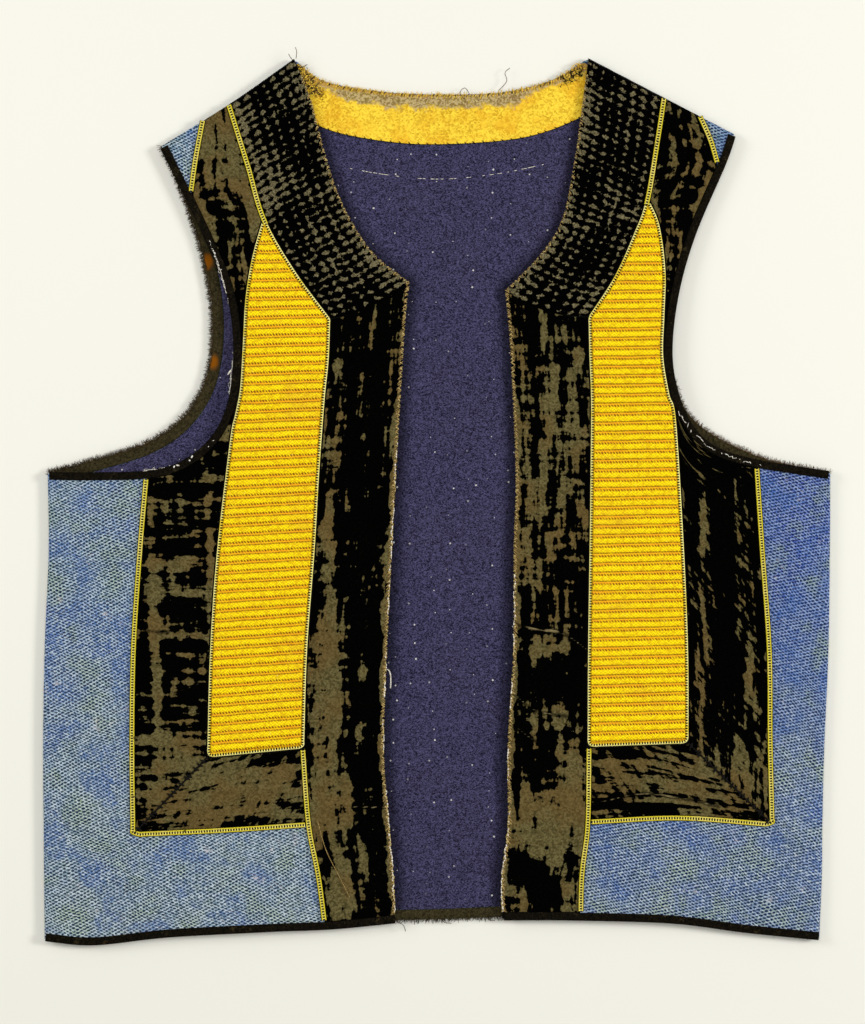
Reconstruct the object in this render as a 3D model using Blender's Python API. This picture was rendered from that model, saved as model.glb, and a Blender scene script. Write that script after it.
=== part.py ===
"""Embroidered folk vest, laid flat on its back with the front open.

The back lies on the table with its lining up.  The two fronts lie on it and turn into it at the
side and shoulder folds.  Velvet bands, a ribbed yellow panel, braids and bindings are sewn on the
fronts.  Lengths are in millimetres and become metres when a mesh is made.  In the tables, x runs
to the right and up runs from the lowest point of the hem to the neck, both seen from above.
"""
import math
from collections import namedtuple

import bmesh
import bpy
import numpy as np
from mathutils.geometry import delaunay_2d_cdt

MM = 0.001

# Overall placing: half of the height, and the small shift that centres the vest on the origin
HALF_HEIGHT = 264.8
CENTRE_X = 0.15

# Cloth thicknesses and the gap left between pieces
GAP = 0.3
BACK_CLOTH = 1.5
LINING_CLOTH = 1.0
FRONT_CLOTH = 1.6
TRIM_CLOTH = 1.0

# Mid heights of the two body layers, and the radius of the fold that joins them
BACK_MID = BACK_CLOTH / 2
LINING_BASE = BACK_CLOTH + GAP
FRONT_MID = LINING_BASE + LINING_CLOTH + GAP + FRONT_CLOTH / 2
FOLD_RADIUS = (FRONT_MID - BACK_MID - GAP) / 2
TRIM_BASE = FRONT_CLOTH / 2 + GAP

# Widths of the narrow pieces
BRAID_HALF = 1.5
BRAID_HEIGHT = 1.4
EDGING_HALF = 1.2
EDGING_HEIGHT = 1.3
ARMHOLE_BINDING = 3.5
HEM_BINDING = 3.6
BINDING_CLOTH = 1.0
BACK_FACING = 6.5
BACK_HEM_BINDING = 6.0
VELVET_INSET = BRAID_HALF + GAP
PANEL_INSET = EDGING_HALF + GAP
FOLD_INSET = FOLD_RADIUS + 0.2
LINING_INSET = 3.5

# Ribs of the yellow panels and gathers of the neck bands
RIB_PITCH = 5.6
RIB_HEIGHT = 0.5
GATHERS = 44
GATHER_HEIGHT = 0.5
GATHER_LENGTH = 0.14
SEAM_BOW = np.array([-1.0, -4.2])

# Heights between which the armhole binding meets the yellow panel and breaks the side band in two
BAND_BREAK = (318.0, 362.0)

# Spacing of the points along curved edges, straight edges and inside the cloth
CURVE_PITCH = 10.0
PANEL_PITCH = 13.0
EDGE_PITCH = 18.0
CLOTH_PITCH = 19.0
FLAT_PITCH = 42.0

# Body sections of each front: height, then x at the side fold, the side band's outer seam, the
# yellow panel's outer and inner seams, and the front edge
Section = namedtuple("Section", "up side band panel_out panel_in edge")
SECTIONS = {
    "left": [
        Section(2.4, -234.7, -181.5, -137.0, -65.7, -24.3),
        Section(40.0, -235.1, -181.5, -137.0, -70.6, -26.0),
        Section(71.0, -235.3, -181.5, -136.8, -76.5, -28.5),
        Section(115.0, -235.6, -182.1, -136.2, -79.8, -31.8),
        Section(175.0, -234.7, -181.2, -134.4, -78.3, -30.0),
        Section(235.0, -232.3, -177.3, -130.2, -73.8, -27.0),
        Section(280.8, -232.9, -173.4, -126.9, -71.1, -24.6),
    ],
    "right": [
        Section(3.0, 229.3, 200.0, 150.0, 86.1, 39.9),
        Section(40.0, 230.8, 200.5, 150.0, 86.8, 39.2),
        Section(71.0, 231.1, 200.7, 149.9, 90.4, 42.9),
        Section(119.0, 232.3, 199.5, 149.7, 91.2, 42.9),
        Section(175.0, 234.7, 198.9, 149.4, 91.5, 46.2),
        Section(235.0, 235.6, 194.7, 147.0, 92.4, 46.5),
        Section(281.1, 235.9, 191.7, 145.8, 93.0, 47.7),
    ],
}

# Curved edges and seams of each front as (x, up), from the hem or centre outwards and upwards
EDGES = {
    "left": {
        "hem": [(-24.3, 13.2), (-62.0, 9.6), (-100.0, 8.1), (-160.0, 4.8), (-205.0, 0.0),
                (-234.7, 2.4)],
        "edge_top": [(-19.0, 373.0), (-16.5, 394.8)],
        "neck": [(-16.5, 394.8), (-39.9, 414.7), (-57.6, 444.6), (-67.6, 474.6), (-75.4, 504.6),
                 (-85.3, 529.4)],
        "shoulder": [(-85.3, 529.4), (-124.2, 502.2), (-164.6, 477.2)],
        "armhole": [(-232.9, 280.8), (-204.9, 280.5), (-171.9, 281.7), (-150.0, 288.5),
                    (-132.3, 304.2), (-122.7, 327.0), (-120.3, 360.0), (-125.1, 391.2),
                    (-138.6, 423.6), (-155.3, 458.5), (-164.6, 477.2)],
        "panel_out_top": [(-122.4, 301.2), (-119.4, 316.0), (-116.4, 332.0), (-114.8, 357.0),
                          (-113.2, 385.8), (-109.3, 410.0), (-103.1, 432.5)],
        "panel_in_top": [(-67.8, 325.2), (-65.4, 349.2), (-64.5, 373.2)],
        "neck_seam": [(-64.5, 373.2), (-85.3, 401.4), (-103.1, 432.5), (-113.1, 465.7),
                      (-124.5, 502.2)],
        "panel_foot": [(-136.2, 112.2), (-80.1, 117.6)],
        "band_foot": [(-181.5, 65.1), (-125.3, 67.8), (-76.5, 71.1)],
        "shoulder_braid": [(-147.5, 444.6), (-144.3, 468.0), (-139.7, 493.0)],
        "back_armhole": [(-232.9, 281.2), (-208.3, 288.0), (-171.9, 299.8), (-149.2, 317.2),
                         (-136.5, 343.0), (-134.3, 380.4), (-142.5, 421.0), (-155.7, 458.4),
                         (-164.6, 477.2)],
        "rib_slope": 0.085,
        "tip": (-103.1, 432.5),
    },
    "right": {
        "hem": [(39.9, 15.0), (80.0, 15.0), (140.0, 13.2), (185.0, 7.5), (229.3, 3.0)],
        "edge_top": [(44.7, 352.0), (43.0, 374.4), (41.5, 390.3)],
        "neck": [(41.5, 390.3), (62.9, 412.4), (75.8, 434.0), (83.2, 470.0), (87.0, 498.2),
                 (90.9, 529.8)],
        "shoulder": [(90.9, 529.8), (135.8, 506.4), (178.2, 484.3)],
        "armhole": [(235.9, 281.1), (212.1, 284.7), (192.3, 288.0), (170.0, 294.4),
                    (154.6, 306.0), (144.3, 326.4), (139.8, 353.0), (143.6, 388.0),
                    (153.9, 424.2), (172.2, 467.0), (178.2, 484.3)],
        "panel_out_top": [(142.2, 312.0), (138.2, 328.0), (134.5, 351.0), (135.2, 375.0),
                          (135.9, 402.0), (132.4, 429.0), (126.1, 444.3)],
        "panel_in_top": [(93.3, 325.2), (92.4, 349.2), (91.8, 374.4)],
        "neck_seam": [(91.8, 374.4), (107.1, 398.1), (118.9, 424.0), (126.1, 444.3),
                      (132.5, 482.0), (136.2, 506.2)],
        "panel_foot": [(91.2, 118.5), (149.7, 120.6)],
        "band_foot": [(90.4, 72.6), (145.5, 75.0), (200.7, 71.1)],
        "shoulder_braid": [(169.2, 462.0), (164.0, 480.0), (157.3, 495.4)],
        "back_armhole": [(235.9, 281.5), (213.3, 286.0), (194.1, 290.8), (167.7, 303.0),
                         (150.3, 317.6), (140.6, 342.0), (139.4, 360.0), (147.6, 409.2), (162.3, 444.2),
                         (171.6, 466.0), (178.2, 484.3)],
        "rib_slope": 0.03,
        "tip": (126.1, 444.3),
    },
}

# Back neck edge, lower edge of the neck facing, and hem of the back, from left to right
BACK_NECK = [(-85.3, 529.4), (-68.0, 516.5), (-33.3, 510.0), (2.1, 508.2), (38.1, 509.4),
             (68.1, 516.5), (90.9, 529.8)]
FACING_FOOT = [(-86.0, 496.8), (-60.9, 485.7), (-27.7, 479.6), (2.1, 478.2), (42.1, 480.7),
               (68.1, 486.6), (98.0, 499.5)]
FACING_LEFT = [(-96.0, 525.0), (-86.0, 496.8)]
FACING_RIGHT = [(98.0, 499.5), (104.0, 527.0)]
BACK_HEM = [(-234.7, 2.4), (-160.0, 7.0), (-60.0, 12.6), (0.0, 14.0), (60.0, 16.0),
            (140.0, 14.6), (229.3, 3.0)]

# Broad soft swells where the fronts stand off the back: centre, reach and height
Swell = namedtuple("Swell", "x up reach_x reach_up height")
SWELLS = [
    Swell(-30.0, 190.0, 45.0, 120.0, 2.0),
    Swell(-122.0, 345.0, 42.0, 60.0, 2.4),
    Swell(-150.0, 195.0, 45.0, 90.0, 1.5),
    Swell(-115.0, 8.0, 50.0, 50.0, 1.2),
    Swell(46.0, 150.0, 45.0, 120.0, 1.8),
    Swell(146.0, 345.0, 42.0, 60.0, 2.2),
    Swell(165.0, 190.0, 45.0, 80.0, 1.2),
    Swell(120.0, 12.0, 50.0, 50.0, 1.3),
]

# Colour, roughness and sheen of each kind of cloth
COLOURS = {
    "ground": ((0.12, 0.23, 0.42), 0.85),
    "velvet": ((0.012, 0.011, 0.010), 0.70),
    "panel": ((0.86, 0.58, 0.03), 0.75),
    "braid": ((0.70, 0.52, 0.08), 0.70),
    "edging": ((0.72, 0.62, 0.25), 0.75),
    "binding": ((0.020, 0.016, 0.012), 0.80),
    "lining": ((0.045, 0.036, 0.115), 0.90),
    "facing": ((0.76, 0.49, 0.09), 0.80),
}


def smooth(points, pitch):
    """A Catmull-Rom curve through the points, sampled at even lengths of about the pitch."""
    points = np.array(points, float)
    before = 2 * points[0] - points[1]
    after = 2 * points[-1] - points[-2]
    padded = np.vstack([before, points, after])
    fine = []
    for a, b, c, d in zip(padded, padded[1:], padded[2:], padded[3:]):
        t = np.linspace(0, 1, 12, endpoint=False)[:, None]
        fine.append(0.5 * (2 * b + (c - a) * t + (2 * a - 5 * b + 4 * c - d) * t ** 2
                           + (3 * b - a - 3 * c + d) * t ** 3))
    fine = np.vstack(fine + [points[-1:]])
    lengths = run_lengths(fine)
    count = max(1, round(lengths[-1] / pitch))
    wanted = np.linspace(0, lengths[-1], count + 1)
    return np.column_stack([np.interp(wanted, lengths, fine[:, i]) for i in (0, 1)])


def run_lengths(curve):
    """Length along a curve up to each of its points."""
    steps = np.linalg.norm(np.diff(curve, axis=0), axis=1)
    return np.concatenate([[0], np.cumsum(steps)])


def column(side, name, low=-1e9, high=1e9):
    """One column of a side's section table as (x, up) points between two heights."""
    rows = [row for row in SECTIONS[side] if low <= row.up <= high]
    return [(getattr(row, name), row.up) for row in rows]


def left_normals(curve):
    """Mitred normals to the left of a curve, long enough to keep the offset even at a corner."""
    steps = np.diff(curve, axis=0)
    steps /= np.linalg.norm(steps, axis=1)[:, None]
    turned = np.column_stack([-steps[:, 1], steps[:, 0]])
    first = np.vstack([turned[:1], turned])
    second = np.vstack([turned, turned[-1:]])
    middle = first + second
    return 2 * middle / (middle ** 2).sum(axis=1)[:, None]


def offset(curve, distance):
    """The curve moved to its left by a distance, one point for each of its points."""
    return curve + left_normals(curve) * distance


def lengthened(curve, extra):
    """The curve with a straight run of extra length at both ends."""
    start = curve[0] - curve[1]
    end = curve[-1] - curve[-2]
    head = curve[0] + start / np.linalg.norm(start) * extra
    tail = curve[-1] + end / np.linalg.norm(end) * extra
    return np.vstack([head, curve, tail])


def crossing(first, second):
    """Where two polylines cross nearest the end of the first and the start of the second."""
    best = None
    goal = (first[-2] + second[1]) / 2
    for i, (a, b) in enumerate(zip(first, first[1:])):
        for j, (c, d) in enumerate(zip(second, second[1:])):
            r = b - a
            s = d - c
            cross = r[0] * s[1] - r[1] * s[0]
            if abs(cross) < 1e-12:
                continue
            t = ((c - a)[0] * s[1] - (c - a)[1] * s[0]) / cross
            u = ((c - a)[0] * r[1] - (c - a)[1] * r[0]) / cross
            if 0 <= t <= 1 and 0 <= u <= 1:
                point = a + t * r
                away = np.linalg.norm(point - goal)
                if best is None or away < best[0]:
                    best = (away, i + t, j + u, point)
    if best is None:
        raise ValueError(f"edges do not meet near {goal}")
    return best[1:]


def cut_outline(edges):
    """Trim a ring of (curve, inset) edges at their corners, with the cloth on the left."""
    runs = [lengthened(offset(curve, inset), 30.0) for curve, inset in edges]
    corners = [crossing(runs[i - 1], runs[i]) for i in range(len(runs))]
    trimmed = []
    for i, run in enumerate(runs):
        _, start, begin = corners[i]
        stop, _, finish = corners[(i + 1) % len(runs)]
        inner = run[math.ceil(start):math.floor(stop) + 1]
        far = np.minimum(np.linalg.norm(inner - begin, axis=1),
                         np.linalg.norm(inner - finish, axis=1))
        trimmed.append(np.vstack([begin, inner[far > 1.5], finish]))
    return trimmed


def swell(points):
    """Height of the fronts' swells above their flat level at the points."""
    total = np.zeros(len(points))
    for row in SWELLS:
        across = (points[:, 0] - row.x) / row.reach_x
        along = (points[:, 1] - row.up) / row.reach_up
        total += row.height * np.exp(-across ** 2 - along ** 2)
    return total


def front_surface(points, height):
    """Points of the fronts' layer at a height above its middle, away from the folds."""
    return np.column_stack([points, FRONT_MID + swell(points) + height])


def inside(points, outline):
    """Whether each point lies within a closed outline, by counting crossings."""
    x, y = points[:, 0][:, None], points[:, 1][:, None]
    a = outline
    b = np.roll(outline, -1, axis=0)
    spans = (a[:, 1] > y) != (b[:, 1] > y)
    rise = np.where(b[:, 1] == a[:, 1], 1.0, b[:, 1] - a[:, 1])
    hit = x < (b[:, 0] - a[:, 0]) * (y - a[:, 1]) / rise + a[:, 0]
    return (spans & hit).sum(axis=1) % 2 == 1


def distance_to(points, outline):
    """Distance from each point to a closed outline."""
    a = outline[None, :, :]
    run = np.roll(outline, -1, axis=0)[None, :, :] - a
    across = points[:, None, :] - a
    share = np.clip((across * run).sum(2) / (run ** 2).sum(2), 0, 1)
    return np.linalg.norm(across - share[..., None] * run, axis=2).min(axis=1)


def triangulated(outline, extra_points, extra_edges, pitch):
    """Triangles that fill an outline, with a staggered grid of points inside it.

    An extra edge joins two extra points by index; an index of -1 - i is the outline's point i.
    """
    low = outline.min(axis=0)
    high = outline.max(axis=0)
    rows = np.arange(low[1] + pitch / 2, high[1], pitch * 0.87)
    grid = []
    for i, up in enumerate(rows):
        xs = np.arange(low[0] + pitch / 2 * (i % 2), high[0], pitch)
        grid.append(np.column_stack([xs, np.full(len(xs), up)]))
    grid = np.vstack(grid)
    grid = grid[inside(grid, outline)]
    grid = grid[distance_to(grid, outline) > 0.55 * pitch]
    points = np.vstack([outline, extra_points, grid])
    count = len(outline)
    edges = [(i, (i + 1) % count) for i in range(count)]
    edges += [(count + a if a >= 0 else -a - 1, count + b if b >= 0 else -b - 1)
              for a, b in extra_edges]
    result = delaunay_2d_cdt([tuple(p) for p in points], edges, [], 1, 1e-6)
    origin = [ids[0] for ids in result[3]]
    faces = [[origin[i] for i in face] for face in result[2]]
    return points, faces


def wall(name, colour, faces, upper, lower):
    """A closed wall between an upper and a lower copy of the same triangles."""
    flat = upper[:, :2]
    turned = []
    for a, b, c in faces:
        area = np.cross(flat[b] - flat[a], flat[c] - flat[a])
        turned.append((a, b, c) if area > 0 else (a, c, b))
    half = {(f[i], f[(i + 1) % 3]) for f in turned for i in range(3)}
    rim = [(a, b) for a, b in half if (b, a) not in half]
    count = len(upper)
    every = list(turned)
    every += [(c + count, b + count, a + count) for a, b, c in turned]
    every += [(a + count, b + count, b, a) for a, b in sorted(rim)]
    add_object(name, colour, np.vstack([upper, lower]), every)


def add_object(name, colour, points, faces):
    """A mesh object in world metres, with its own material and its normals outwards."""
    placed = points.copy()
    placed[:, 0] -= CENTRE_X
    placed[:, 1] -= HALF_HEIGHT
    mesh = bpy.data.meshes.new(name)
    mesh.from_pydata((placed * MM).tolist(), [], [tuple(map(int, f)) for f in faces])
    work = bmesh.new()
    work.from_mesh(mesh)
    loose = [v for v in work.verts if not v.link_faces]
    bmesh.ops.delete(work, geom=loose, context="VERTS")
    bmesh.ops.recalc_face_normals(work, faces=work.faces)
    bmesh.ops.triangulate(work, faces=work.faces)
    work.to_mesh(mesh)
    work.free()
    mesh.materials.append(cloth_material(name, colour))
    thing = bpy.data.objects.new(name, mesh)
    bpy.context.scene.collection.objects.link(thing)


def cloth_material(name, colour):
    """A plain cloth material of one of the named colours."""
    base, roughness = COLOURS[colour]
    material = bpy.data.materials.new(name)
    material.use_nodes = True
    shader = material.node_tree.nodes["Principled BSDF"]
    shader.inputs["Base Color"].default_value = (*base, 1.0)
    shader.inputs["Roughness"].default_value = roughness
    shader.inputs["Metallic"].default_value = 0.0
    material.diffuse_color = (*base, 1.0)
    return material


def folded_wall(name, colour, edges, pitch, upper_layer):
    """A body layer, from (curve, is a fold) edges; a fold turns a quarter round to the other."""
    trimmed = cut_outline([(curve, 0.0) for curve, _ in edges])
    folds = [i for i, (_, is_fold) in enumerate(edges) if is_fold]
    turns = np.radians([0.0, 45.0])
    reach = list(FOLD_RADIUS * (1 - np.cos(turns[1:]))) + [FOLD_RADIUS]
    outline, angle, foot, inward = [], [], [], []
    ends = {}

    def put(point, turn, base, way):
        outline.append(point)
        angle.append(turn)
        foot.append(base)
        inward.append(way)
        return len(outline) - 1

    ring_turns = list(turns[1:]) + [math.pi / 2]
    count = len(trimmed)
    for i, run in enumerate(trimmed):
        after_fold = (i - 1) % count in folds
        before_fold = (i + 1) % count in folds
        if i in folds:
            normals = left_normals(run)
            for point, normal in zip(run[:-1], normals[:-1]):
                put(point, 0.0, point, normal)
            continue
        corner = run[0]
        turn = 0.0 if after_fold else math.pi / 2
        way = (run[1] - corner) / np.linalg.norm(run[1] - corner)
        put(corner, turn, corner, way)
        if after_fold:
            for ring, (step, ring_turn) in enumerate(zip(reach, ring_turns)):
                ends[(i - 1) % count, "end", ring] = put(corner + way * step, ring_turn,
                                                         corner, way)
        for point in run[1:-1]:
            put(point, math.pi / 2, point, np.zeros(2))
        if before_fold:
            last = run[-1]
            way = (run[-2] - last) / np.linalg.norm(run[-2] - last)
            for ring in reversed(range(len(reach))):
                index = put(last + way * reach[ring], ring_turns[ring], last, way)
                ends[(i + 1) % count, "start", ring] = index
    extra, links = [], []
    for i in folds:
        run = trimmed[i]
        normals = left_normals(run)
        for ring, (step, ring_turn) in enumerate(zip(reach, ring_turns)):
            previous = -ends[i, "start", ring] - 1
            for point, normal in zip(run[1:-1], normals[1:-1]):
                extra.append(point + normal * step)
                angle.append(ring_turn)
                foot.append(point)
                inward.append(normal)
                links.append((previous, len(extra) - 1))
                previous = len(extra) - 1
            links.append((previous, -ends[i, "end", ring] - 1))
    points, faces = triangulated(np.array(outline), np.array(extra), links, pitch)
    known = len(angle)
    turn = np.full(len(points), math.pi / 2)
    turn[:known] = angle
    base = points.copy()
    base[:known] = foot
    way = np.zeros((len(points), 2))
    way[:known] = inward
    folding = turn < math.pi / 2 - 1e-9

    def layer(height):
        """Every point at a height on the outward side of the layer's middle."""
        placed = points.copy()
        along = FOLD_RADIUS - (FOLD_RADIUS + height) * np.cos(turn)
        placed[folding] = (base + way * along[:, None])[folding]
        rise = (FOLD_RADIUS + height) * np.sin(turn) - FOLD_RADIUS
        rise[~folding] = height
        if upper_layer:
            return np.column_stack([placed, FRONT_MID + swell(base) + rise])
        return np.column_stack([placed, BACK_MID - rise])

    half = (FRONT_CLOTH if upper_layer else BACK_CLOTH) / 2
    if upper_layer:
        wall(name, colour, faces, layer(half), layer(-half))
    else:
        wall(name, colour, faces, layer(-half), layer(half))


def trim(name, colour, edges, base, thickness, pitch, surface=front_surface):
    """A flat piece of cloth that lies on a layer, at a height above the layer's middle."""
    outline = np.vstack([run[:-1] for run in cut_outline(edges)])
    points, faces = triangulated(outline, np.zeros((0, 2)), [], pitch)
    wall(name, colour, faces, surface(points, base + thickness), surface(points, base))


def back_surface(points, height):
    """Points of the back's layer at a height above the table."""
    return np.column_stack([points, np.full(len(points), height)])


def strip(name, colour, path, section, surface=front_surface):
    """A narrow closed piece swept along a path from a section of (inset, height) points."""
    normals = left_normals(path)
    rows = [surface(path + normals * inset, height) for inset, height in section]
    points = np.stack(rows, axis=1).reshape(-1, 3)
    sides = len(section)
    faces = []
    for i in range(len(path) - 1):
        for j in range(sides):
            k = (j + 1) % sides
            faces.append((i * sides + j, i * sides + k, (i + 1) * sides + k,
                          (i + 1) * sides + j))
    faces.append(tuple(range(sides)))
    faces.append(tuple(len(points) - sides + j for j in range(sides)))
    add_object(name, colour, points, faces)


def rounded(half, height):
    """Section of a braid or edging: a low strip with bevelled shoulders."""
    low = TRIM_BASE
    return [(-half, low), (half, low), (half, low + 0.6 * height), (0.5 * half, low + height),
            (-0.5 * half, low + height), (-half, low + 0.6 * height)]


def wrapped(width):
    """Section of a binding that covers a front's edge and hangs over its outer side."""
    low = TRIM_BASE
    top = low + BINDING_CLOTH
    bottom = -FRONT_CLOTH / 2
    out = -GAP - BINDING_CLOTH
    return [(width, low), (width, top), (out, top), (out, bottom), (-GAP, bottom), (-GAP, low)]


def flat_section(width, low, thickness):
    """Section of a flat strip that runs inwards from an edge."""
    return [(0.0, low), (width, low), (width, low + thickness), (0.0, low + thickness)]


def part_of(path, start, stop):
    """The path between two lengths measured from its start; a negative stop is from its end."""
    lengths = run_lengths(path)
    stop = lengths[-1] + stop if stop <= 0 else stop
    inner = path[(lengths > start + 1.5) & (lengths < stop - 1.5)]
    ends = [[np.interp(s, lengths, path[:, i]) for i in (0, 1)] for s in (start, stop)]
    return np.vstack([ends[0], inner, ends[1]])


def grid_solid(name, colour, top, bottom):
    """A closed solid between two grids of points of the same shape."""
    rows, columns = top.shape[:2]
    count = rows * columns
    index = np.arange(count).reshape(rows, columns)
    a, b = index[:-1, :-1].ravel(), index[:-1, 1:].ravel()
    c, d = index[1:, 1:].ravel(), index[1:, :-1].ravel()
    faces = np.column_stack([a, b, c, d]).tolist()
    faces += (np.column_stack([d, c, b, a]) + count).tolist()
    rim = np.concatenate([index[0, :], index[1:, -1], index[-1, -2::-1], index[-2:0:-1, 0]])
    after = np.roll(rim, -1)
    faces += np.column_stack([after, rim, rim + count, after + count]).tolist()
    add_object(name, colour, np.vstack([top.reshape(-1, 3), bottom.reshape(-1, 3)]), faces)


def side_curves(side):
    """Every edge and seam of one front as a sampled curve, running upwards or outwards."""
    table = EDGES[side]
    outer, inner = (0, -1) if side == "left" else (-1, 0)
    corner = table["panel_foot"][outer]
    inner = table["panel_foot"][inner]
    band_corner = table["band_foot"][outer]
    out_points = column(side, "panel_out", 140.0, 270.0)
    in_points = column(side, "panel_in", 140.0, 290.0)
    curves = {
        "hem": smooth(table["hem"], EDGE_PITCH),
        "side": smooth(column(side, "side"), EDGE_PITCH),
        "edge": smooth(column(side, "edge") + table["edge_top"], EDGE_PITCH),
        "neck": smooth(table["neck"], CURVE_PITCH),
        "shoulder": smooth(table["shoulder"], EDGE_PITCH),
        "armhole": smooth(table["armhole"], CURVE_PITCH),
        "back_armhole": smooth(table["back_armhole"], CURVE_PITCH),
        "panel_out": smooth([corner] + out_points + table["panel_out_top"], PANEL_PITCH),
        "panel_in": smooth([inner] + in_points + table["panel_in_top"], PANEL_PITCH),
        "neck_seam": smooth(table["neck_seam"], CURVE_PITCH),
        "panel_foot": smooth(table["panel_foot"], EDGE_PITCH),
        "band_foot": smooth(table["band_foot"], EDGE_PITCH),
        "shoulder_braid": smooth(table["shoulder_braid"], CURVE_PITCH),
        "band": smooth([band_corner] + column(side, "band", 100.0), EDGE_PITCH),
        "hem_seam": smooth(column(side, "panel_in", 0.0, 80.0) + [inner], EDGE_PITCH),
    }
    curves["mitre"] = np.array([band_corner, corner])
    curves["corner_seam"] = neck_ruling(curves, np.array([1.0]), np.linspace(0, 1, 6))[0]
    near = np.argmin(np.linalg.norm(curves["neck_seam"] - np.array(table["tip"]), axis=1))
    curves["above_tip"] = curves["neck_seam"][near + 1:]
    curves["below_tip"] = curves["neck_seam"][:near + 1]
    return curves


def neck_ruling(curves, along, across, start=0.0, inset=0.0):
    """Points of the neck band: along it from the shoulder, and across it from the neck edge.

    A point is on the straight line between the neck edge and the outer seam, and the lines bow
    down towards the band's lower end.
    """
    edge = part_of(curves["neck"][::-1], start, 0)
    seam = part_of(offset(curves["neck_seam"], inset)[::-1], start, 0)
    runs = []
    for run in (edge, seam):
        lengths = run_lengths(run)
        runs.append(np.column_stack([np.interp(along * lengths[-1], lengths, run[:, i])
                                     for i in (0, 1)]))
    t = across[None, :, None]
    bow = (along ** 4)[:, None, None] * 4 * t * (1 - t) * SEAM_BOW
    return runs[0][:, None, :] * (1 - t) + runs[1][:, None, :] * t + bow


def between(curve, low, high):
    """The points of a curve whose height lies between two values."""
    return curve[(curve[:, 1] > low) & (curve[:, 1] < high)]


def outward_in(side, curve):
    """A cross curve, which runs left to right in the tables, turned to run inwards."""
    return curve if side == "left" else curve[::-1]


def ring(side, edges):
    """A ring of (curve, value) edges given for the left side, in order for either side."""
    if side == "left":
        return edges
    return [(curve[::-1], value) for curve, value in reversed(edges)]


def build_back(left, right):
    """Back panel, its lining, neck facing, armhole facings and hem binding."""
    hem = smooth(BACK_HEM, EDGE_PITCH)
    neck = smooth(BACK_NECK, CURVE_PITCH)
    edges = [(hem, False), (right["side"], True), (right["back_armhole"], False),
             (right["shoulder"][::-1], True), (neck[::-1], False), (left["shoulder"], True),
             (left["back_armhole"][::-1], False), (left["side"][::-1], True)]
    folded_wall("back", "ground", edges, FLAT_PITCH, False)
    facing_foot = smooth(FACING_FOOT, CURVE_PITCH)
    facing_left = smooth(FACING_LEFT, EDGE_PITCH)
    facing_right = smooth(FACING_RIGHT, EDGE_PITCH)
    trim("neck_facing", "facing",
         [(facing_foot, 0.0), (facing_right, 0.0), (right["shoulder"][::-1], LINING_INSET),
          (neck[::-1], 0.4), (left["shoulder"], LINING_INSET), (facing_left, 0.0)],
         LINING_BASE, LINING_CLOTH, FLAT_PITCH, back_surface)
    trim("back_lining", "lining",
         [(hem, BACK_HEM_BINDING + GAP), (right["side"], LINING_INSET),
          (right["back_armhole"], BACK_FACING + GAP),
          (right["shoulder"][::-1], LINING_INSET),
          (facing_right[::-1], GAP), (facing_foot[::-1], GAP), (facing_left[::-1], GAP),
          (left["shoulder"], LINING_INSET), (left["back_armhole"][::-1], BACK_FACING + GAP),
          (left["side"][::-1], LINING_INSET)],
         LINING_BASE, LINING_CLOTH, FLAT_PITCH, back_surface)
    flat = flat_section(BACK_FACING, LINING_BASE, LINING_CLOTH)
    strip("armhole_facing_left", "binding", part_of(left["back_armhole"][::-1], 4.5, -4.5),
          flat, back_surface)
    strip("armhole_facing_right", "binding", part_of(right["back_armhole"], 4.5, -4.5),
          flat, back_surface)
    strip("hem_binding_back", "binding", part_of(hem, 9.0, -9.0),
          flat_section(BACK_HEM_BINDING, LINING_BASE, LINING_CLOTH), back_surface)


def build_front(side, c):
    """One front with its bands, panel, braids and bindings."""
    edges = [(c["hem"][::-1], False), (c["edge"], False), (c["neck"], False),
             (c["shoulder"], True), (c["armhole"][::-1], False), (c["side"][::-1], True)]
    folded_wall(f"front_{side}", "ground", ring(side, edges), CLOTH_PITCH, True)
    build_velvet(side, c)
    build_panel(side, c)
    build_braids(side, c)
    build_bindings(side, c)


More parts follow.
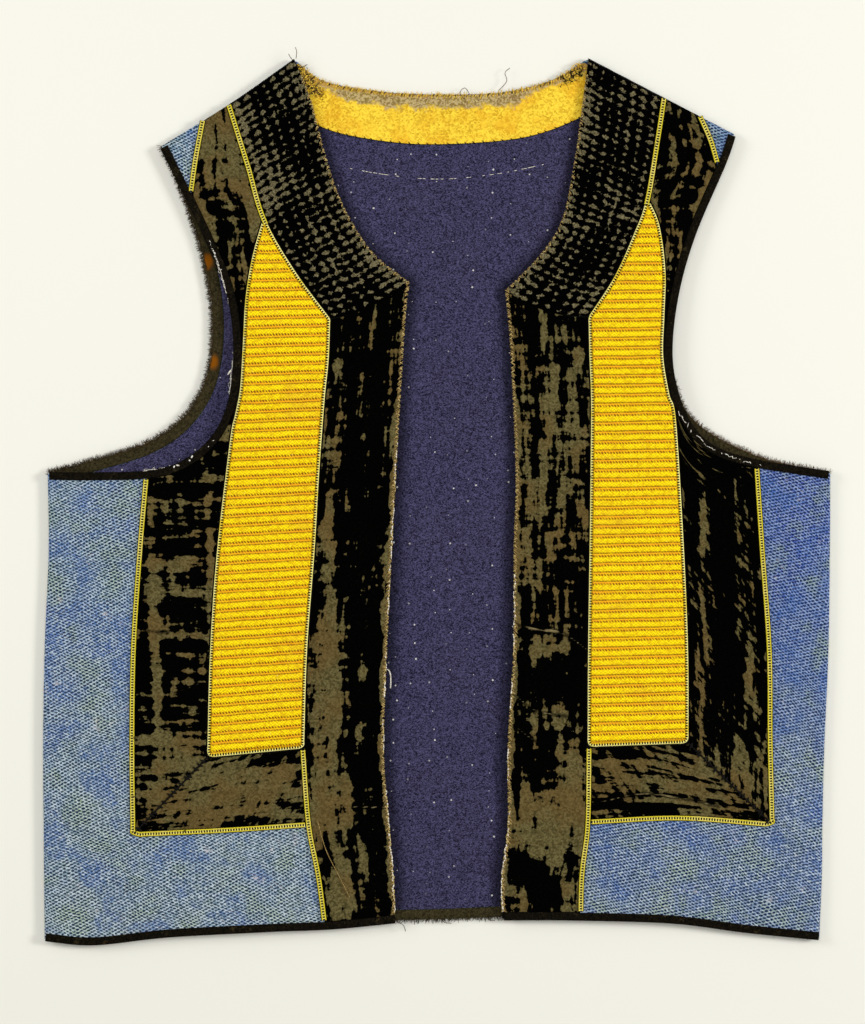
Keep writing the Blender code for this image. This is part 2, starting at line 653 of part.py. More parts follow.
def build_velvet(side, c):
    """The velvet bands: neck, centre front, shoulder, side and foot."""
    foot = outward_in(side, c["band_foot"])
    panel_foot = outward_in(side, c["panel_foot"])
    low = TRIM_BASE
    thick = TRIM_CLOTH
    trim(f"centre_band_{side}", "velvet",
         ring(side, [(c["hem"][::-1], HEM_BINDING + GAP), (c["edge"], 0.0), (c["corner_seam"], GAP / 2),
                     (np.vstack([c["panel_in"][::-1], c["hem_seam"][::-1][1:]]),
                      VELVET_INSET)]), low, thick, CLOTH_PITCH)
    trim(f"foot_band_{side}", "velvet",
         ring(side, [(foot, VELVET_INSET), (c["hem_seam"], VELVET_INSET),
                     (panel_foot[::-1], VELVET_INSET), (c["mitre"][::-1], GAP / 2)]),
         low, thick, CLOTH_PITCH)
    trim(f"side_band_{side}", "velvet",
         ring(side, [(c["mitre"], GAP / 2), (between(c["panel_out"], 0.0, BAND_BREAK[0]), VELVET_INSET),
                     (between(c["armhole"], 0.0, BAND_BREAK[0])[::-1],
                      ARMHOLE_BINDING + GAP),
                     (c["band"][::-1], VELVET_INSET)]), low, thick, CLOTH_PITCH)
    inner = between(np.vstack([c["panel_out"], c["above_tip"]]), BAND_BREAK[1], np.inf)
    armhole = between(c["armhole"], BAND_BREAK[1], np.inf)
    trim(f"shoulder_band_{side}", "velvet",
         ring(side, [(inner, VELVET_INSET), (c["shoulder"], FOLD_INSET),
                     (c["shoulder_braid"][::-1], VELVET_INSET),
                     (armhole[::-1], ARMHOLE_BINDING + GAP)]), low, thick, CLOTH_PITCH)
    along = np.linspace(0.0, 1.0, 2 * GATHERS + 1)
    across = np.array([0.0, GATHER_LENGTH, 1.0])
    way = -VELVET_INSET if side == "left" else VELVET_INSET
    band = neck_ruling(c, along, across, FOLD_INSET + 0.6, way)
    lift = np.zeros(band.shape[:2])
    lift[1::2, :2] = GATHER_HEIGHT
    flat = band.reshape(-1, 2)
    top = front_surface(flat, low + thick).reshape(*band.shape[:2], 3)
    top[..., 2] += lift
    bottom = front_surface(flat, low).reshape(top.shape)
    grid_solid(f"neck_band_{side}", "velvet", top, bottom)


def build_panel(side, c):
    """The yellow panel: rows of ribs across it, with a thin edging round its three sides."""
    inward = 1 if side == "left" else -1
    outer = offset(c["panel_out"][::-1], PANEL_INSET * inward)
    inner_seam = np.vstack([c["panel_in"], c["below_tip"][1:]])
    inner = offset(inner_seam, PANEL_INSET * inward)
    foot = offset(outward_in(side, c["panel_foot"]), PANEL_INSET * inward)
    slope = EDGES[side]["rib_slope"]
    middle = (outer[-1, 0] + inner[0, 0]) / 2
    base = foot[:, 1].mean() + 0.2
    rows = np.arange(base, inner_seam[-1, 1] - 5.0, RIB_PITCH / 2)
    ends = []
    for run in (outer[::-1], inner):
        level = run[:, 1] - slope * (run[:, 0] - middle)
        order = np.argsort(level)
        xs = np.interp(rows, level[order], run[order, 0])
        ends.append(np.column_stack([xs, rows + slope * (xs - middle)]))
    wide = (ends[1][:, 0] - ends[0][:, 0]) * inward > 1.2
    share = np.linspace(0, 1, 3)[None, :, None]
    grid = ends[0][wide][:, None, :] * (1 - share) + ends[1][wide][:, None, :] * share
    flat = grid.reshape(-1, 2)
    top = front_surface(flat, TRIM_BASE + TRIM_CLOTH).reshape(*grid.shape[:2], 3)
    top[1::2, :, 2] += RIB_HEIGHT
    grid_solid(f"yellow_panel_{side}", "panel", top,
               front_surface(flat, TRIM_BASE).reshape(top.shape))
    round_path = np.vstack([part_of(c["panel_out"][::-1], 4.4, 0),
                            outward_in(side, c["panel_foot"])[1:-1],
                            part_of(inner_seam, 0, -4.4)])
    strip(f"panel_edging_{side}", "edging", round_path, rounded(EDGING_HALF, EDGING_HEIGHT))


def build_braids(side, c):
    """Braids over the velvet's outer edges."""
    section = rounded(BRAID_HALF, BRAID_HEIGHT)
    neck_path = np.vstack([c["below_tip"][-1:], c["above_tip"]])
    strip(f"neck_braid_{side}", "braid", part_of(neck_path, 0.0, -FOLD_INSET - 0.6), section)
    strip(f"shoulder_braid_{side}", "braid",
          part_of(c["shoulder_braid"], ARMHOLE_BINDING + 4.0, -FOLD_INSET - 0.6), section)
    foot = outward_in(side, c["band_foot"])
    path = np.vstack([part_of(c["band"][::-1], ARMHOLE_BINDING + 1.2, -12.0), foot[0],
                      part_of(foot, 10.0, -VELVET_INSET - 0.4)])
    strip(f"side_braid_{side}", "braid", path, section)
    order = np.argsort(c["hem"][:, 0])
    start = c["hem_seam"][0]
    hem_up = np.interp(start[0], c["hem"][order, 0], c["hem"][order, 1])
    strip(f"hem_braid_{side}", "braid",
          part_of(c["hem_seam"][::-1], EDGING_HALF + 1.4,
                  start[1] - hem_up - HEM_BINDING - 1.0), section)


def build_bindings(side, c):
    """Bindings folded over the front's armhole and hem."""
    armhole = part_of(c["armhole"], FOLD_INSET + 1.0, -FOLD_INSET - 1.2)
    hem = part_of(c["hem"], 0.4, -FOLD_INSET - 0.4)
    if side == "left":
        armhole = armhole[::-1]
        hem = hem[::-1]
    strip(f"armhole_binding_{side}", "binding", armhole, wrapped(ARMHOLE_BINDING))
    strip(f"hem_binding_{side}", "binding", hem, wrapped(HEM_BINDING))


for old in list(bpy.data.objects):
    bpy.data.objects.remove(old, do_unlink=True)

LEFT = side_curves("left")
RIGHT = side_curves("right")
build_back(LEFT, RIGHT)
build_front("left", LEFT)
build_front("right", RIGHT)
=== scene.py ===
"""Looks of the embroidered folk vest, laid flat on its back with the front open.

Tables give x to the right and up from the lowest point of the hem to the neck, both in
millimetres and seen from above, as the vest was measured.  Meshes are in metres.
"""
import math
from collections import namedtuple

import bpy
import numpy as np
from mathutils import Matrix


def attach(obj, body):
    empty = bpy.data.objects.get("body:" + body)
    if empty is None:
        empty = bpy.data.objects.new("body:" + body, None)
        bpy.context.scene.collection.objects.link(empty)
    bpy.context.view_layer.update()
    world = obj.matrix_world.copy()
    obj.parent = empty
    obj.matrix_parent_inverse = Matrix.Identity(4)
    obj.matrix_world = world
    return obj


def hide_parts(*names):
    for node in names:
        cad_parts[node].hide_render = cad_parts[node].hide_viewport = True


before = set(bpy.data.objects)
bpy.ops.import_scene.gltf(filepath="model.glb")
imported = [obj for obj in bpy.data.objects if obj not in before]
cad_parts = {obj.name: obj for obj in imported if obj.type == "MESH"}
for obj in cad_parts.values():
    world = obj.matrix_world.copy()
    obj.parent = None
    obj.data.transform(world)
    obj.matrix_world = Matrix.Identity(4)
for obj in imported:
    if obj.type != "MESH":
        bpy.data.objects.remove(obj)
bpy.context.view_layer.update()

# Back panel
# One piece of blue dotted cotton, face down on the table.  It turns up through a small round
# fold at the sides and shoulders, where the fronts are sewn to it.
MM = 0.001
CENTRE_X = 0.15
HALF_HEIGHT = 264.8
GAP = 0.3
BACK_CLOTH = 1.5
BACK_SEAM = 2.18
BACK_PITCH = 4.0
WAIST = 318
THINNEST = 0.15
BACK_NECK = [(-85.3, 529.4), (-68.0, 516.5), (-33.3, 510.0), (2.1, 508.2), (38.1, 509.4),
             (68.1, 516.5), (90.9, 529.8)]
BACK_HEM = [(-234.7, 2.4), (-160.0, 7.0), (-60.0, 12.6), (0.0, 14.0), (60.0, 16.0),
            (140.0, 14.6), (229.3, 3.0)]

# Each front: height, then x at the side fold, the side band's outer seam, the yellow panel's
# outer and inner seams, and the front edge
Section = namedtuple("Section", "up side band panel_out panel_in edge")
SECTIONS = {
    "left": [
        Section(2.4, -234.7, -181.5, -137.0, -65.7, -24.3),
        Section(40.0, -235.1, -181.5, -137.0, -70.6, -26.0),
        Section(71.0, -235.3, -181.5, -136.8, -76.5, -28.5),
        Section(115.0, -235.6, -182.1, -136.2, -79.8, -31.8),
        Section(175.0, -234.7, -181.2, -134.4, -78.3, -30.0),
        Section(235.0, -232.3, -177.3, -130.2, -73.8, -27.0),
        Section(280.8, -232.9, -173.4, -126.9, -71.1, -24.6),
    ],
    "right": [
        Section(3.0, 229.3, 200.0, 150.0, 86.1, 39.9),
        Section(40.0, 230.8, 200.5, 150.0, 86.8, 39.2),
        Section(71.0, 231.1, 200.7, 149.9, 90.4, 42.9),
        Section(119.0, 232.3, 199.5, 149.7, 91.2, 42.9),
        Section(175.0, 234.7, 198.9, 149.4, 91.5, 46.2),
        Section(235.0, 235.6, 194.7, 147.0, 92.4, 46.5),
        Section(281.1, 235.9, 191.7, 145.8, 93.0, 47.7),
    ],
}
# Curved edges and seams, from the hem or centre outwards and upwards, as (x, up)
EDGES = {
    "left": {
        "hem": [(-24.3, 13.2), (-62.0, 9.6), (-100.0, 8.1), (-160.0, 4.8), (-205.0, 0.0),
                (-234.7, 2.4)],
        "edge_top": [(-19.0, 373.0), (-16.5, 394.8)],
        "neck": [(-16.5, 394.8), (-39.9, 414.7), (-57.6, 444.6), (-67.6, 474.6), (-75.4, 504.6),
                 (-85.3, 529.4)],
        "shoulder": [(-85.3, 529.4), (-124.2, 502.2), (-164.6, 477.2)],
        "armhole": [(-232.9, 280.8), (-204.9, 280.5), (-171.9, 281.7), (-150.0, 288.5),
                    (-132.3, 304.2), (-122.7, 327.0), (-120.3, 360.0), (-125.1, 391.2),
                    (-138.6, 423.6), (-155.3, 458.5), (-164.6, 477.2)],
        "panel_out_top": [(-122.4, 301.2), (-119.4, 316.0), (-116.4, 332.0), (-114.8, 357.0),
                          (-113.2, 385.8), (-109.3, 410.0), (-103.1, 432.5)],
        "panel_in_top": [(-67.8, 325.2), (-65.4, 349.2), (-64.5, 373.2)],
        "neck_seam": [(-64.5, 373.2), (-85.3, 401.4), (-103.1, 432.5), (-113.1, 465.7),
                      (-124.5, 502.2)],
        "panel_foot": [(-136.2, 112.2), (-80.1, 117.6)],
        "band_foot": [(-181.5, 65.1), (-125.3, 67.8), (-76.5, 71.1)],
        "shoulder_braid": [(-147.5, 444.6), (-144.3, 468.0), (-139.7, 493.0)],
        "back_armhole": [(-232.9, 281.2), (-208.3, 288.0), (-171.9, 299.8), (-149.2, 317.2),
                         (-136.5, 343.0), (-134.3, 380.4), (-142.5, 421.0), (-155.7, 458.4),
                         (-164.6, 477.2)],
        "rib_slope": 0.085,
        "tip": (-103.1, 432.5),
    },
    "right": {
        "hem": [(39.9, 15.0), (80.0, 15.0), (140.0, 13.2), (185.0, 7.5), (229.3, 3.0)],
        "edge_top": [(44.7, 352.0), (43.0, 374.4), (41.5, 390.3)],
        "neck": [(41.5, 390.3), (62.9, 412.4), (75.8, 434.0), (83.2, 470.0), (87.0, 498.2),
                 (90.9, 529.8)],
        "shoulder": [(90.9, 529.8), (135.8, 506.4), (178.2, 484.3)],
        "armhole": [(235.9, 281.1), (212.1, 284.7), (192.3, 288.0), (170.0, 294.4),
                    (154.6, 306.0), (144.3, 326.4), (139.8, 353.0), (143.6, 388.0),
                    (153.9, 424.2), (172.2, 467.0), (178.2, 484.3)],
        "panel_out_top": [(142.2, 312.0), (138.2, 328.0), (134.5, 351.0), (135.2, 375.0),
                          (135.9, 402.0), (132.4, 429.0), (126.1, 444.3)],
        "panel_in_top": [(93.3, 325.2), (92.4, 349.2), (91.8, 374.4)],
        "neck_seam": [(91.8, 374.4), (107.1, 398.1), (118.9, 424.0), (126.1, 444.3),
                      (132.5, 482.0), (136.2, 506.2)],
        "panel_foot": [(91.2, 118.5), (149.7, 120.6)],
        "band_foot": [(90.4, 72.6), (145.5, 75.0), (200.7, 71.1)],
        "shoulder_braid": [(169.2, 462.0), (164.0, 480.0), (157.3, 495.4)],
        "back_armhole": [(235.9, 281.5), (213.3, 286.0), (194.1, 290.8), (167.7, 303.0),
                         (150.3, 317.6), (140.6, 342.0), (139.4, 360.0), (147.6, 409.2),
                         (162.3, 444.2), (171.6, 466.0), (178.2, 484.3)],
        "rib_slope": 0.03,
        "tip": (126.1, 444.3),
    },
}


def srgb(red, green, blue):
    """Linear colour of an 8 bit one: (value / 255) to the power 2.2."""
    return tuple((value / 255) ** 2.2 for value in (red, green, blue))


def run_lengths(curve):
    """Length along a curve up to each of its points: the running sum of its steps."""
    steps = np.linalg.norm(np.diff(curve, axis=0), axis=1)
    return np.concatenate([[0], np.cumsum(steps)])


def at_shares(curve, shares):
    """Points of a curve at shares of its length from 0 to 1, by straight interpolation."""
    lengths = run_lengths(curve)
    wanted = np.asarray(shares) * lengths[-1]
    return np.column_stack([np.interp(wanted, lengths, curve[:, i]) for i in (0, 1)])


def smooth(points, pitch=2.0):
    """A Catmull-Rom cubic through the points, sampled at even lengths of about the pitch."""
    points = np.array(points, float)
    padded = np.vstack([2 * points[0] - points[1], points, 2 * points[-1] - points[-2]])
    a, b, c, d = (padded[i:len(padded) - 3 + i, None, :] for i in range(4))
    t = np.linspace(0, 1, 24, endpoint=False)[None, :, None]
    fine = 0.5 * (2 * b + (c - a) * t + (2 * a - 5 * b + 4 * c - d) * t ** 2
                  + (3 * b - a - 3 * c + d) * t ** 3)
    fine = np.vstack([fine.reshape(-1, 2), points[-1:]])
    count = max(2, round(run_lengths(fine)[-1] / pitch) + 1)
    return at_shares(fine, np.linspace(0, 1, count))


def left_normals(curve):
    """Unit normals to the left of a curve, mitred so that an offset stays even at a corner."""
    steps = np.diff(curve, axis=0)
    steps /= np.linalg.norm(steps, axis=1)[:, None]
    turned = np.column_stack([-steps[:, 1], steps[:, 0]])
    middle = np.vstack([turned[:1], turned]) + np.vstack([turned, turned[-1:]])
    return 2 * middle / (middle ** 2).sum(axis=1)[:, None]


def offset(curve, distance):
    """The curve moved to its left by a distance."""
    return curve + left_normals(curve) * distance


def part_of(curve, start, stop, pitch=1.5):
    """The stretch of a curve between two lengths; a stop of zero or less is from its end."""
    total = run_lengths(curve)[-1]
    stop = total + stop if stop <= 0 else stop
    count = max(2, round((stop - start) / pitch) + 1)
    return at_shares(curve, np.linspace(start, stop, count) / total)


def above(curve, low, high=1e9):
    """The points of a curve whose height lies between two values."""
    return curve[(curve[:, 1] > low) & (curve[:, 1] < high)]


def column(side, name, low=-1e9, high=1e9):
    """One column of a side's section table as (x, up) points between two heights."""
    return [(getattr(row, name), row.up) for row in SECTIONS[side] if low <= row.up <= high]


def side_curves(side):
    """Edges and seams of one side, running upwards or as the tables give them."""
    table = EDGES[side]
    outer, inner = (0, -1) if side == "left" else (-1, 0)
    corner, inner_corner = table["panel_foot"][outer], table["panel_foot"][inner]
    band_corner = table["band_foot"][outer]
    curves = {name: smooth(table[name]) for name in
              ("hem", "neck", "shoulder", "armhole", "back_armhole", "neck_seam", "panel_foot",
               "band_foot", "shoulder_braid")}
    curves["side"] = smooth(column(side, "side"))
    curves["edge"] = smooth(column(side, "edge") + table["edge_top"])
    curves["panel_out"] = smooth([corner] + column(side, "panel_out", 140, 270)
                                 + table["panel_out_top"])
    curves["panel_in"] = smooth([inner_corner] + column(side, "panel_in", 140, 290)
                                + table["panel_in_top"])
    curves["band"] = smooth([band_corner] + column(side, "band", 100))
    curves["hem_seam"] = smooth(column(side, "panel_in", 0, 80) + [inner_corner])
    curves["mitre"] = smooth([band_corner, corner])
    seam = curves["neck_seam"]
    near = np.argmin(np.linalg.norm(seam - np.array(table["tip"]), axis=1))
    curves["above_tip"] = seam[near + 1:]
    curves["below_tip"] = seam[:near + 1]
    return curves


CURVES = {side: side_curves(side) for side in ("left", "right")}


def coons(bottom, top, outer, inner, across, along):
    """Grid between four edges: the sum of the two ruled surfaces less the corners' flat one."""
    s = np.asarray(along)[:, None, None]
    t = np.asarray(across)[None, :, None]
    low, high = at_shares(bottom, across)[None], at_shares(top, across)[None]
    first, last = at_shares(outer, along)[:, None], at_shares(inner, along)[:, None]
    flat = ((1 - s) * ((1 - t) * low[:, :1] + t * low[:, -1:])
            + s * ((1 - t) * high[:, :1] + t * high[:, -1:]))
    return (1 - s) * low + s * high + (1 - t) * first + t * last - flat


def shares(length, pitch, border=(0.0, 0.15, 0.45, 0.9, 1.5)):
    """Shares of a length: close together at both ends, where cloth rounds over, else even."""
    border = np.array(border)
    steps = max(2, round((length - 2 * border[-1]) / pitch))
    middle = np.linspace(border[-1], length - border[-1], steps + 1)
    return np.concatenate([border[:-1], middle, (length - border[:-1])[::-1]]) / length


def patch(bottom, top, outer, inner, pitch, down=None):
    """Coons grid between four edges, with points at about the pitch each way."""
    wide = max(run_lengths(bottom)[-1], run_lengths(top)[-1])
    tall = max(run_lengths(outer)[-1], run_lengths(inner)[-1])
    return coons(bottom, top, outer, inner, shares(wide, pitch), shares(tall, down or pitch))


def grid_uv(grid):
    """Lengths in millimetres along a grid's rows and columns, from its middle and its foot."""
    u = np.cumsum(np.linalg.norm(np.diff(grid, axis=1), axis=2), axis=1)
    v = np.cumsum(np.linalg.norm(np.diff(grid, axis=0), axis=2), axis=0)
    u = np.pad(u, ((0, 0), (1, 0)))
    return np.stack([u - u[:, -1:] / 2, np.pad(v, ((1, 0), (0, 0)))], axis=2)


def distance_to(xy, curve):
    """Distance from each point of a grid to the nearest of a curve's points 0.5 mm apart."""
    fine = at_shares(curve, np.linspace(0, 1, int(run_lengths(curve)[-1] / 0.5) + 2))
    flat = xy.reshape(-1, 2)
    found = [np.sqrt(((part[:, None] - fine[None]) ** 2).sum(axis=2).min(axis=1))
             for part in np.array_split(flat, max(1, len(flat) // 3000))]
    return np.concatenate(found).reshape(xy.shape[:-1])


def round_over(distance, radius):
    """Quarter round at an edge, sqrt(1 - (1 - distance / radius)^2): 0 at it, 1 inwards."""
    share = np.clip(distance / radius, 0, 1)
    return np.sqrt(1 - (1 - share) ** 2)


def lifted(xy, z):
    """A grid of (x, up) points with a height for each."""
    return np.concatenate([xy, np.broadcast_to(z, xy.shape[:-1])[..., None]], axis=-1)


def rim_of(grid):
    """The points round a grid, from its first corner along its first row."""
    return np.concatenate([grid[0], grid[1:, -1], grid[-1, -2::-1], grid[-2:0:-1, 0]])


def from_rim(grid):
    """Distance of each of a grid's points to the grid's rim."""
    rim = rim_of(grid)
    return distance_to(grid, np.vstack([rim, rim[:1]]))


def wall(top, bottom, uv, **fields):
    """A closed wall between a top and a bottom grid, as points, faces, UVs and fields."""
    rows, columns = top.shape[:2]
    count = rows * columns
    index = np.arange(count).reshape(rows, columns)
    a, b, c, d = (index[i:rows - 1 + i, j:columns - 1 + j].ravel()
                  for i, j in ((0, 0), (0, 1), (1, 1), (1, 0)))
    rim = rim_of(index[..., None])[:, 0]
    after = np.roll(rim, -1)
    faces = np.vstack([np.column_stack([a, b, c, d]), np.column_stack([d, c, b, a]) + count,
                       np.column_stack([after, rim, rim + count, after + count])])
    ring = rim_of(top[..., :2])
    following = np.roll(ring, -1, axis=0)
    if (ring[:, 0] * following[:, 1] - following[:, 0] * ring[:, 1]).sum() < 0:
        faces = faces[:, ::-1]
    made = {name: np.tile(np.broadcast_to(value, (rows, columns)).ravel(), 2)
            for name, value in fields.items()}
    return {"points": np.concatenate([top.reshape(-1, 3), bottom.reshape(-1, 3)]),
            "faces": faces, "uv": np.tile(uv.reshape(-1, 2), (2, 1)), "fields": made}


def make_piece(node, parts, material, extra=False):
    """One object from closed parts in the tables' millimetres: a CAD node's, or an extra one."""
    name = node if extra else f"{node}_cloth"
    starts = np.cumsum([0] + [len(part["points"]) for part in parts[:-1]])
    points = np.concatenate([part["points"] for part in parts])
    corners = np.concatenate([part["faces"] + start for part, start in zip(parts, starts)])
    placed = (points - (CENTRE_X, HALF_HEIGHT, 0.0)) * MM
    mesh = bpy.data.meshes.new(name)
    mesh.vertices.add(len(placed))
    mesh.vertices.foreach_set("co", placed.ravel())
    mesh.loops.add(corners.size)
    mesh.loops.foreach_set("vertex_index", corners.ravel().astype(np.int32))
    mesh.polygons.add(len(corners))
    mesh.polygons.foreach_set("loop_start", np.arange(0, corners.size, 4))
    mesh.polygons.foreach_set("use_smooth", np.ones(len(corners), bool))
    mesh.update(calc_edges=True)
    uv = np.concatenate([part["uv"] for part in parts])
    layer = mesh.uv_layers.new(name="cloth")
    layer.data.foreach_set("uv", uv[corners.ravel()].ravel())
    for key in parts[0]["fields"]:
        field = mesh.attributes.new(key, "FLOAT", "POINT")
        field.data.foreach_set("value", np.concatenate([part["fields"][key]
                                                        for part in parts]))
    mesh.materials.append(material)
    piece = bpy.data.objects.new(name, mesh)
    bpy.context.scene.collection.objects.link(piece)
    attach(piece, "root")
    if not extra:
        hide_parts(node)


class Shader:
    """Short calls that add nodes to a tree: they take sockets or values and give a socket."""

    def __init__(self, tree):
        self.tree = tree

    def node(self, kind, inputs=(), **settings):
        made = self.tree.nodes.new(kind)
        for key, value in settings.items():
            setattr(made, key, value)
        for key, value in dict(inputs).items():
            if isinstance(value, bpy.types.NodeSocket):
                self.tree.links.new(value, made.inputs[key])
            elif value is not None:
                made.inputs[key].default_value = value
        return made

    def math(self, operation, first, second=None, third=None):
        return self.node("ShaderNodeMath", {0: first, 1: second, 2: third},
                         operation=operation).outputs[0]

    def add(self, first, second):
        return self.math("ADD", first, second)

    def times(self, first, second):
        return self.math("MULTIPLY", first, second)

    def step(self, value, low, high, start=0.0, end=1.0):
        """A smooth step from start to end as the value goes from low to high."""
        return self.node("ShaderNodeMapRange",
                         {"Value": value, "From Min": low, "From Max": high, "To Min": start,
                          "To Max": end}, interpolation_type="SMOOTHSTEP").outputs["Result"]

    def split(self, vector):
        return self.node("ShaderNodeSeparateXYZ", {0: vector}).outputs

    def join(self, x, y, z=0.0):
        return self.node("ShaderNodeCombineXYZ", {0: x, 1: y, 2: z}).outputs[0]

    def scaled(self, vector, scale, turn=0.0):
        return self.node("ShaderNodeMapping", {"Vector": vector, "Scale": scale,
                                               "Rotation": (0, 0, turn)}).outputs[0]

    def group(self, tree, inputs):
        return self.node("ShaderNodeGroup", inputs, node_tree=tree).outputs

    def noise(self, vector, scale=1.0, detail=2.0, roughness=0.5):
        return self.node("ShaderNodeTexNoise",
                         {"Vector": vector, "Scale": scale, "Detail": detail,
                          "Roughness": roughness}).outputs["Fac"]

    def swing(self, reach, vector, scale=1.0, detail=2.0, roughness=0.5):
        """Noise that swings about nought: reach (noise - 0.5)."""
        return self.times(self.add(self.noise(vector, scale, detail, roughness), -0.5), reach)

    def cells(self, vector, scale):
        """Random cells of a plane: distance from each one's point, and two values of its own."""
        made = self.node("ShaderNodeTexVoronoi", {"Vector": vector, "Scale": scale},
                         voronoi_dimensions="2D")
        first, second, _ = self.split(made.outputs["Color"])
        return made.outputs["Distance"], first, second

    def mix(self, factor, first, second):
        """The first colour turned into the second; each is a socket or an 8 bit colour."""
        made = self.node("ShaderNodeMix", {0: factor}, data_type="RGBA")
        for key, value in ((6, first), (7, second)):
            if isinstance(value, bpy.types.NodeSocket):
                self.tree.links.new(value, made.inputs[key])
            else:
                made.inputs[key].default_value = (*srgb(*value), 1.0)
        return made.outputs[2]

    def blend(self, first, second, value, low, high, start=0.0, end=1.0):
        """The first colour turned into the second by a step of the value."""
        return self.mix(self.step(value, low, high, start, end), first, second)

    def wave(self, value, period, shift=0.0):
        """A cosine of the value with a period, moved to lie between 0 and 1."""
        turned = self.math("MULTIPLY_ADD", value, 2 * math.pi / period, shift)
        return self.math("MULTIPLY_ADD", self.math("COSINE", turned), 0.5, 0.5)

    def line(self, value, middle, half, soft):
        """1 where the value is within half of the middle, fading out over the soft width."""
        away = self.math("ABSOLUTE", self.add(value, -middle))
        return self.step(away, half, half + soft, 1.0, 0.0)

    def field(self, name):
        return self.node("ShaderNodeAttribute", attribute_name=name).outputs["Fac"]

    def uv(self):
        return self.node("ShaderNodeUVMap", uv_map="cloth").outputs[0]

    def place(self):
        """Object coordinates in millimetres."""
        coords = self.node("ShaderNodeTexCoord").outputs["Object"]
        return self.scaled(coords, (1000.0, 1000.0, 1000.0))


def finish_of(name, look, bump, specular=0.15):
    """A cloth finish: the look gives colour, roughness and height; bump is in millimetres."""
    material = bpy.data.materials.new(name)
    material.use_nodes = True
    shader = Shader(material.node_tree)
    surface = material.node_tree.nodes["Principled BSDF"]
    colour, roughness, height = look(shader)
    links = material.node_tree.links
    links.new(colour, surface.inputs["Base Color"])
    if isinstance(roughness, bpy.types.NodeSocket):
        links.new(roughness, surface.inputs["Roughness"])
    else:
        surface.inputs["Roughness"].default_value = roughness
    surface.inputs["Specular IOR Level"].default_value = specular
    relief = shader.node("ShaderNodeBump", {"Height": height, "Strength": 1.0,
                                            "Distance": bump * MM})
    links.new(relief.outputs[0], surface.inputs["Normal"])
    return material


def group_of(name, inputs, outputs):
    """An empty shader group with named inputs and float outputs, and a Shader to fill it."""
    tree = bpy.data.node_groups.new(name, "ShaderNodeTree")
    for socket, kind in inputs.items():
        tree.interface.new_socket(socket, in_out="INPUT", socket_type=f"NodeSocket{kind}")
    for socket in outputs:
        tree.interface.new_socket(socket, in_out="OUTPUT", socket_type="NodeSocketFloat")
    start, end = tree.nodes.new("NodeGroupInput"), tree.nodes.new("NodeGroupOutput")
    return tree, Shader(tree), start.outputs, end.inputs


def make_thread_group():
    """Crossed threads: two sines multiplied into a checker, roughened by fine noise."""
    tree, s, given, out = group_of("crossed threads", {"Place": "Vector", "Pitch": "Float"},
                                   ["Height"])
    x, y, _ = s.split(given["Place"])
    turn = s.math("DIVIDE", 2 * math.pi, given["Pitch"])
    checker = s.times(s.math("SINE", s.times(x, turn)), s.math("SINE", s.times(y, turn)))
    rough = s.noise(given["Place"], 1.9, 3.0, 0.75)
    tree.links.new(s.add(s.math("MULTIPLY_ADD", checker, 0.3, 0.3), s.times(rough, 0.7)),
                   out["Height"])
    return tree


THREADS = make_thread_group()


DOT_WIDE = 2.3
DOT_TALL = 1.62
THREAD_PITCH = 0.75


def make_dot_group():
    """Slanted oval dots in staggered rows, with pale threads left between them."""
    tree, s, given, out = group_of("staggered dots", {"Place": "Vector"}, ["Dot", "Thread"])
    bend = s.noise(given["Place"], 0.03, 2.0)
    x, y, _ = s.split(given["Place"])
    v = s.times(s.add(y, s.times(bend, 9.0)), 1 / DOT_TALL)
    row = s.math("FLOOR", v)
    u = s.add(s.times(s.add(x, s.times(bend, 5.0)), 1 / DOT_WIDE),
              s.times(s.math("MODULO", row, 2.0), 0.5))
    dx = s.times(s.add(s.math("FRACT", u), -0.5), DOT_WIDE)
    dy = s.times(s.add(s.math("FRACT", v), -0.5), DOT_TALL * 1.25)
    slant = s.add(dy, s.times(dx, -0.35))
    reach = s.math("SQRT", s.add(s.times(s.times(dx, dx), 0.75), s.times(slant, slant)))
    ragged = s.add(reach, s.swing(1.5, given["Place"], 0.9, 2.0, 0.6))
    tree.links.new(s.step(ragged, 0.54, 1.02, 1.0, 0.0), out["Dot"])
    fleck = s.noise(s.scaled(given["Place"], (0.42, 1.15, 1.0)), 1.0, 2.0, 0.6)
    tree.links.new(s.step(s.add(s.times(reach, 0.16), fleck), 0.66, 0.84), out["Thread"])
    return tree


DOTS = make_dot_group()


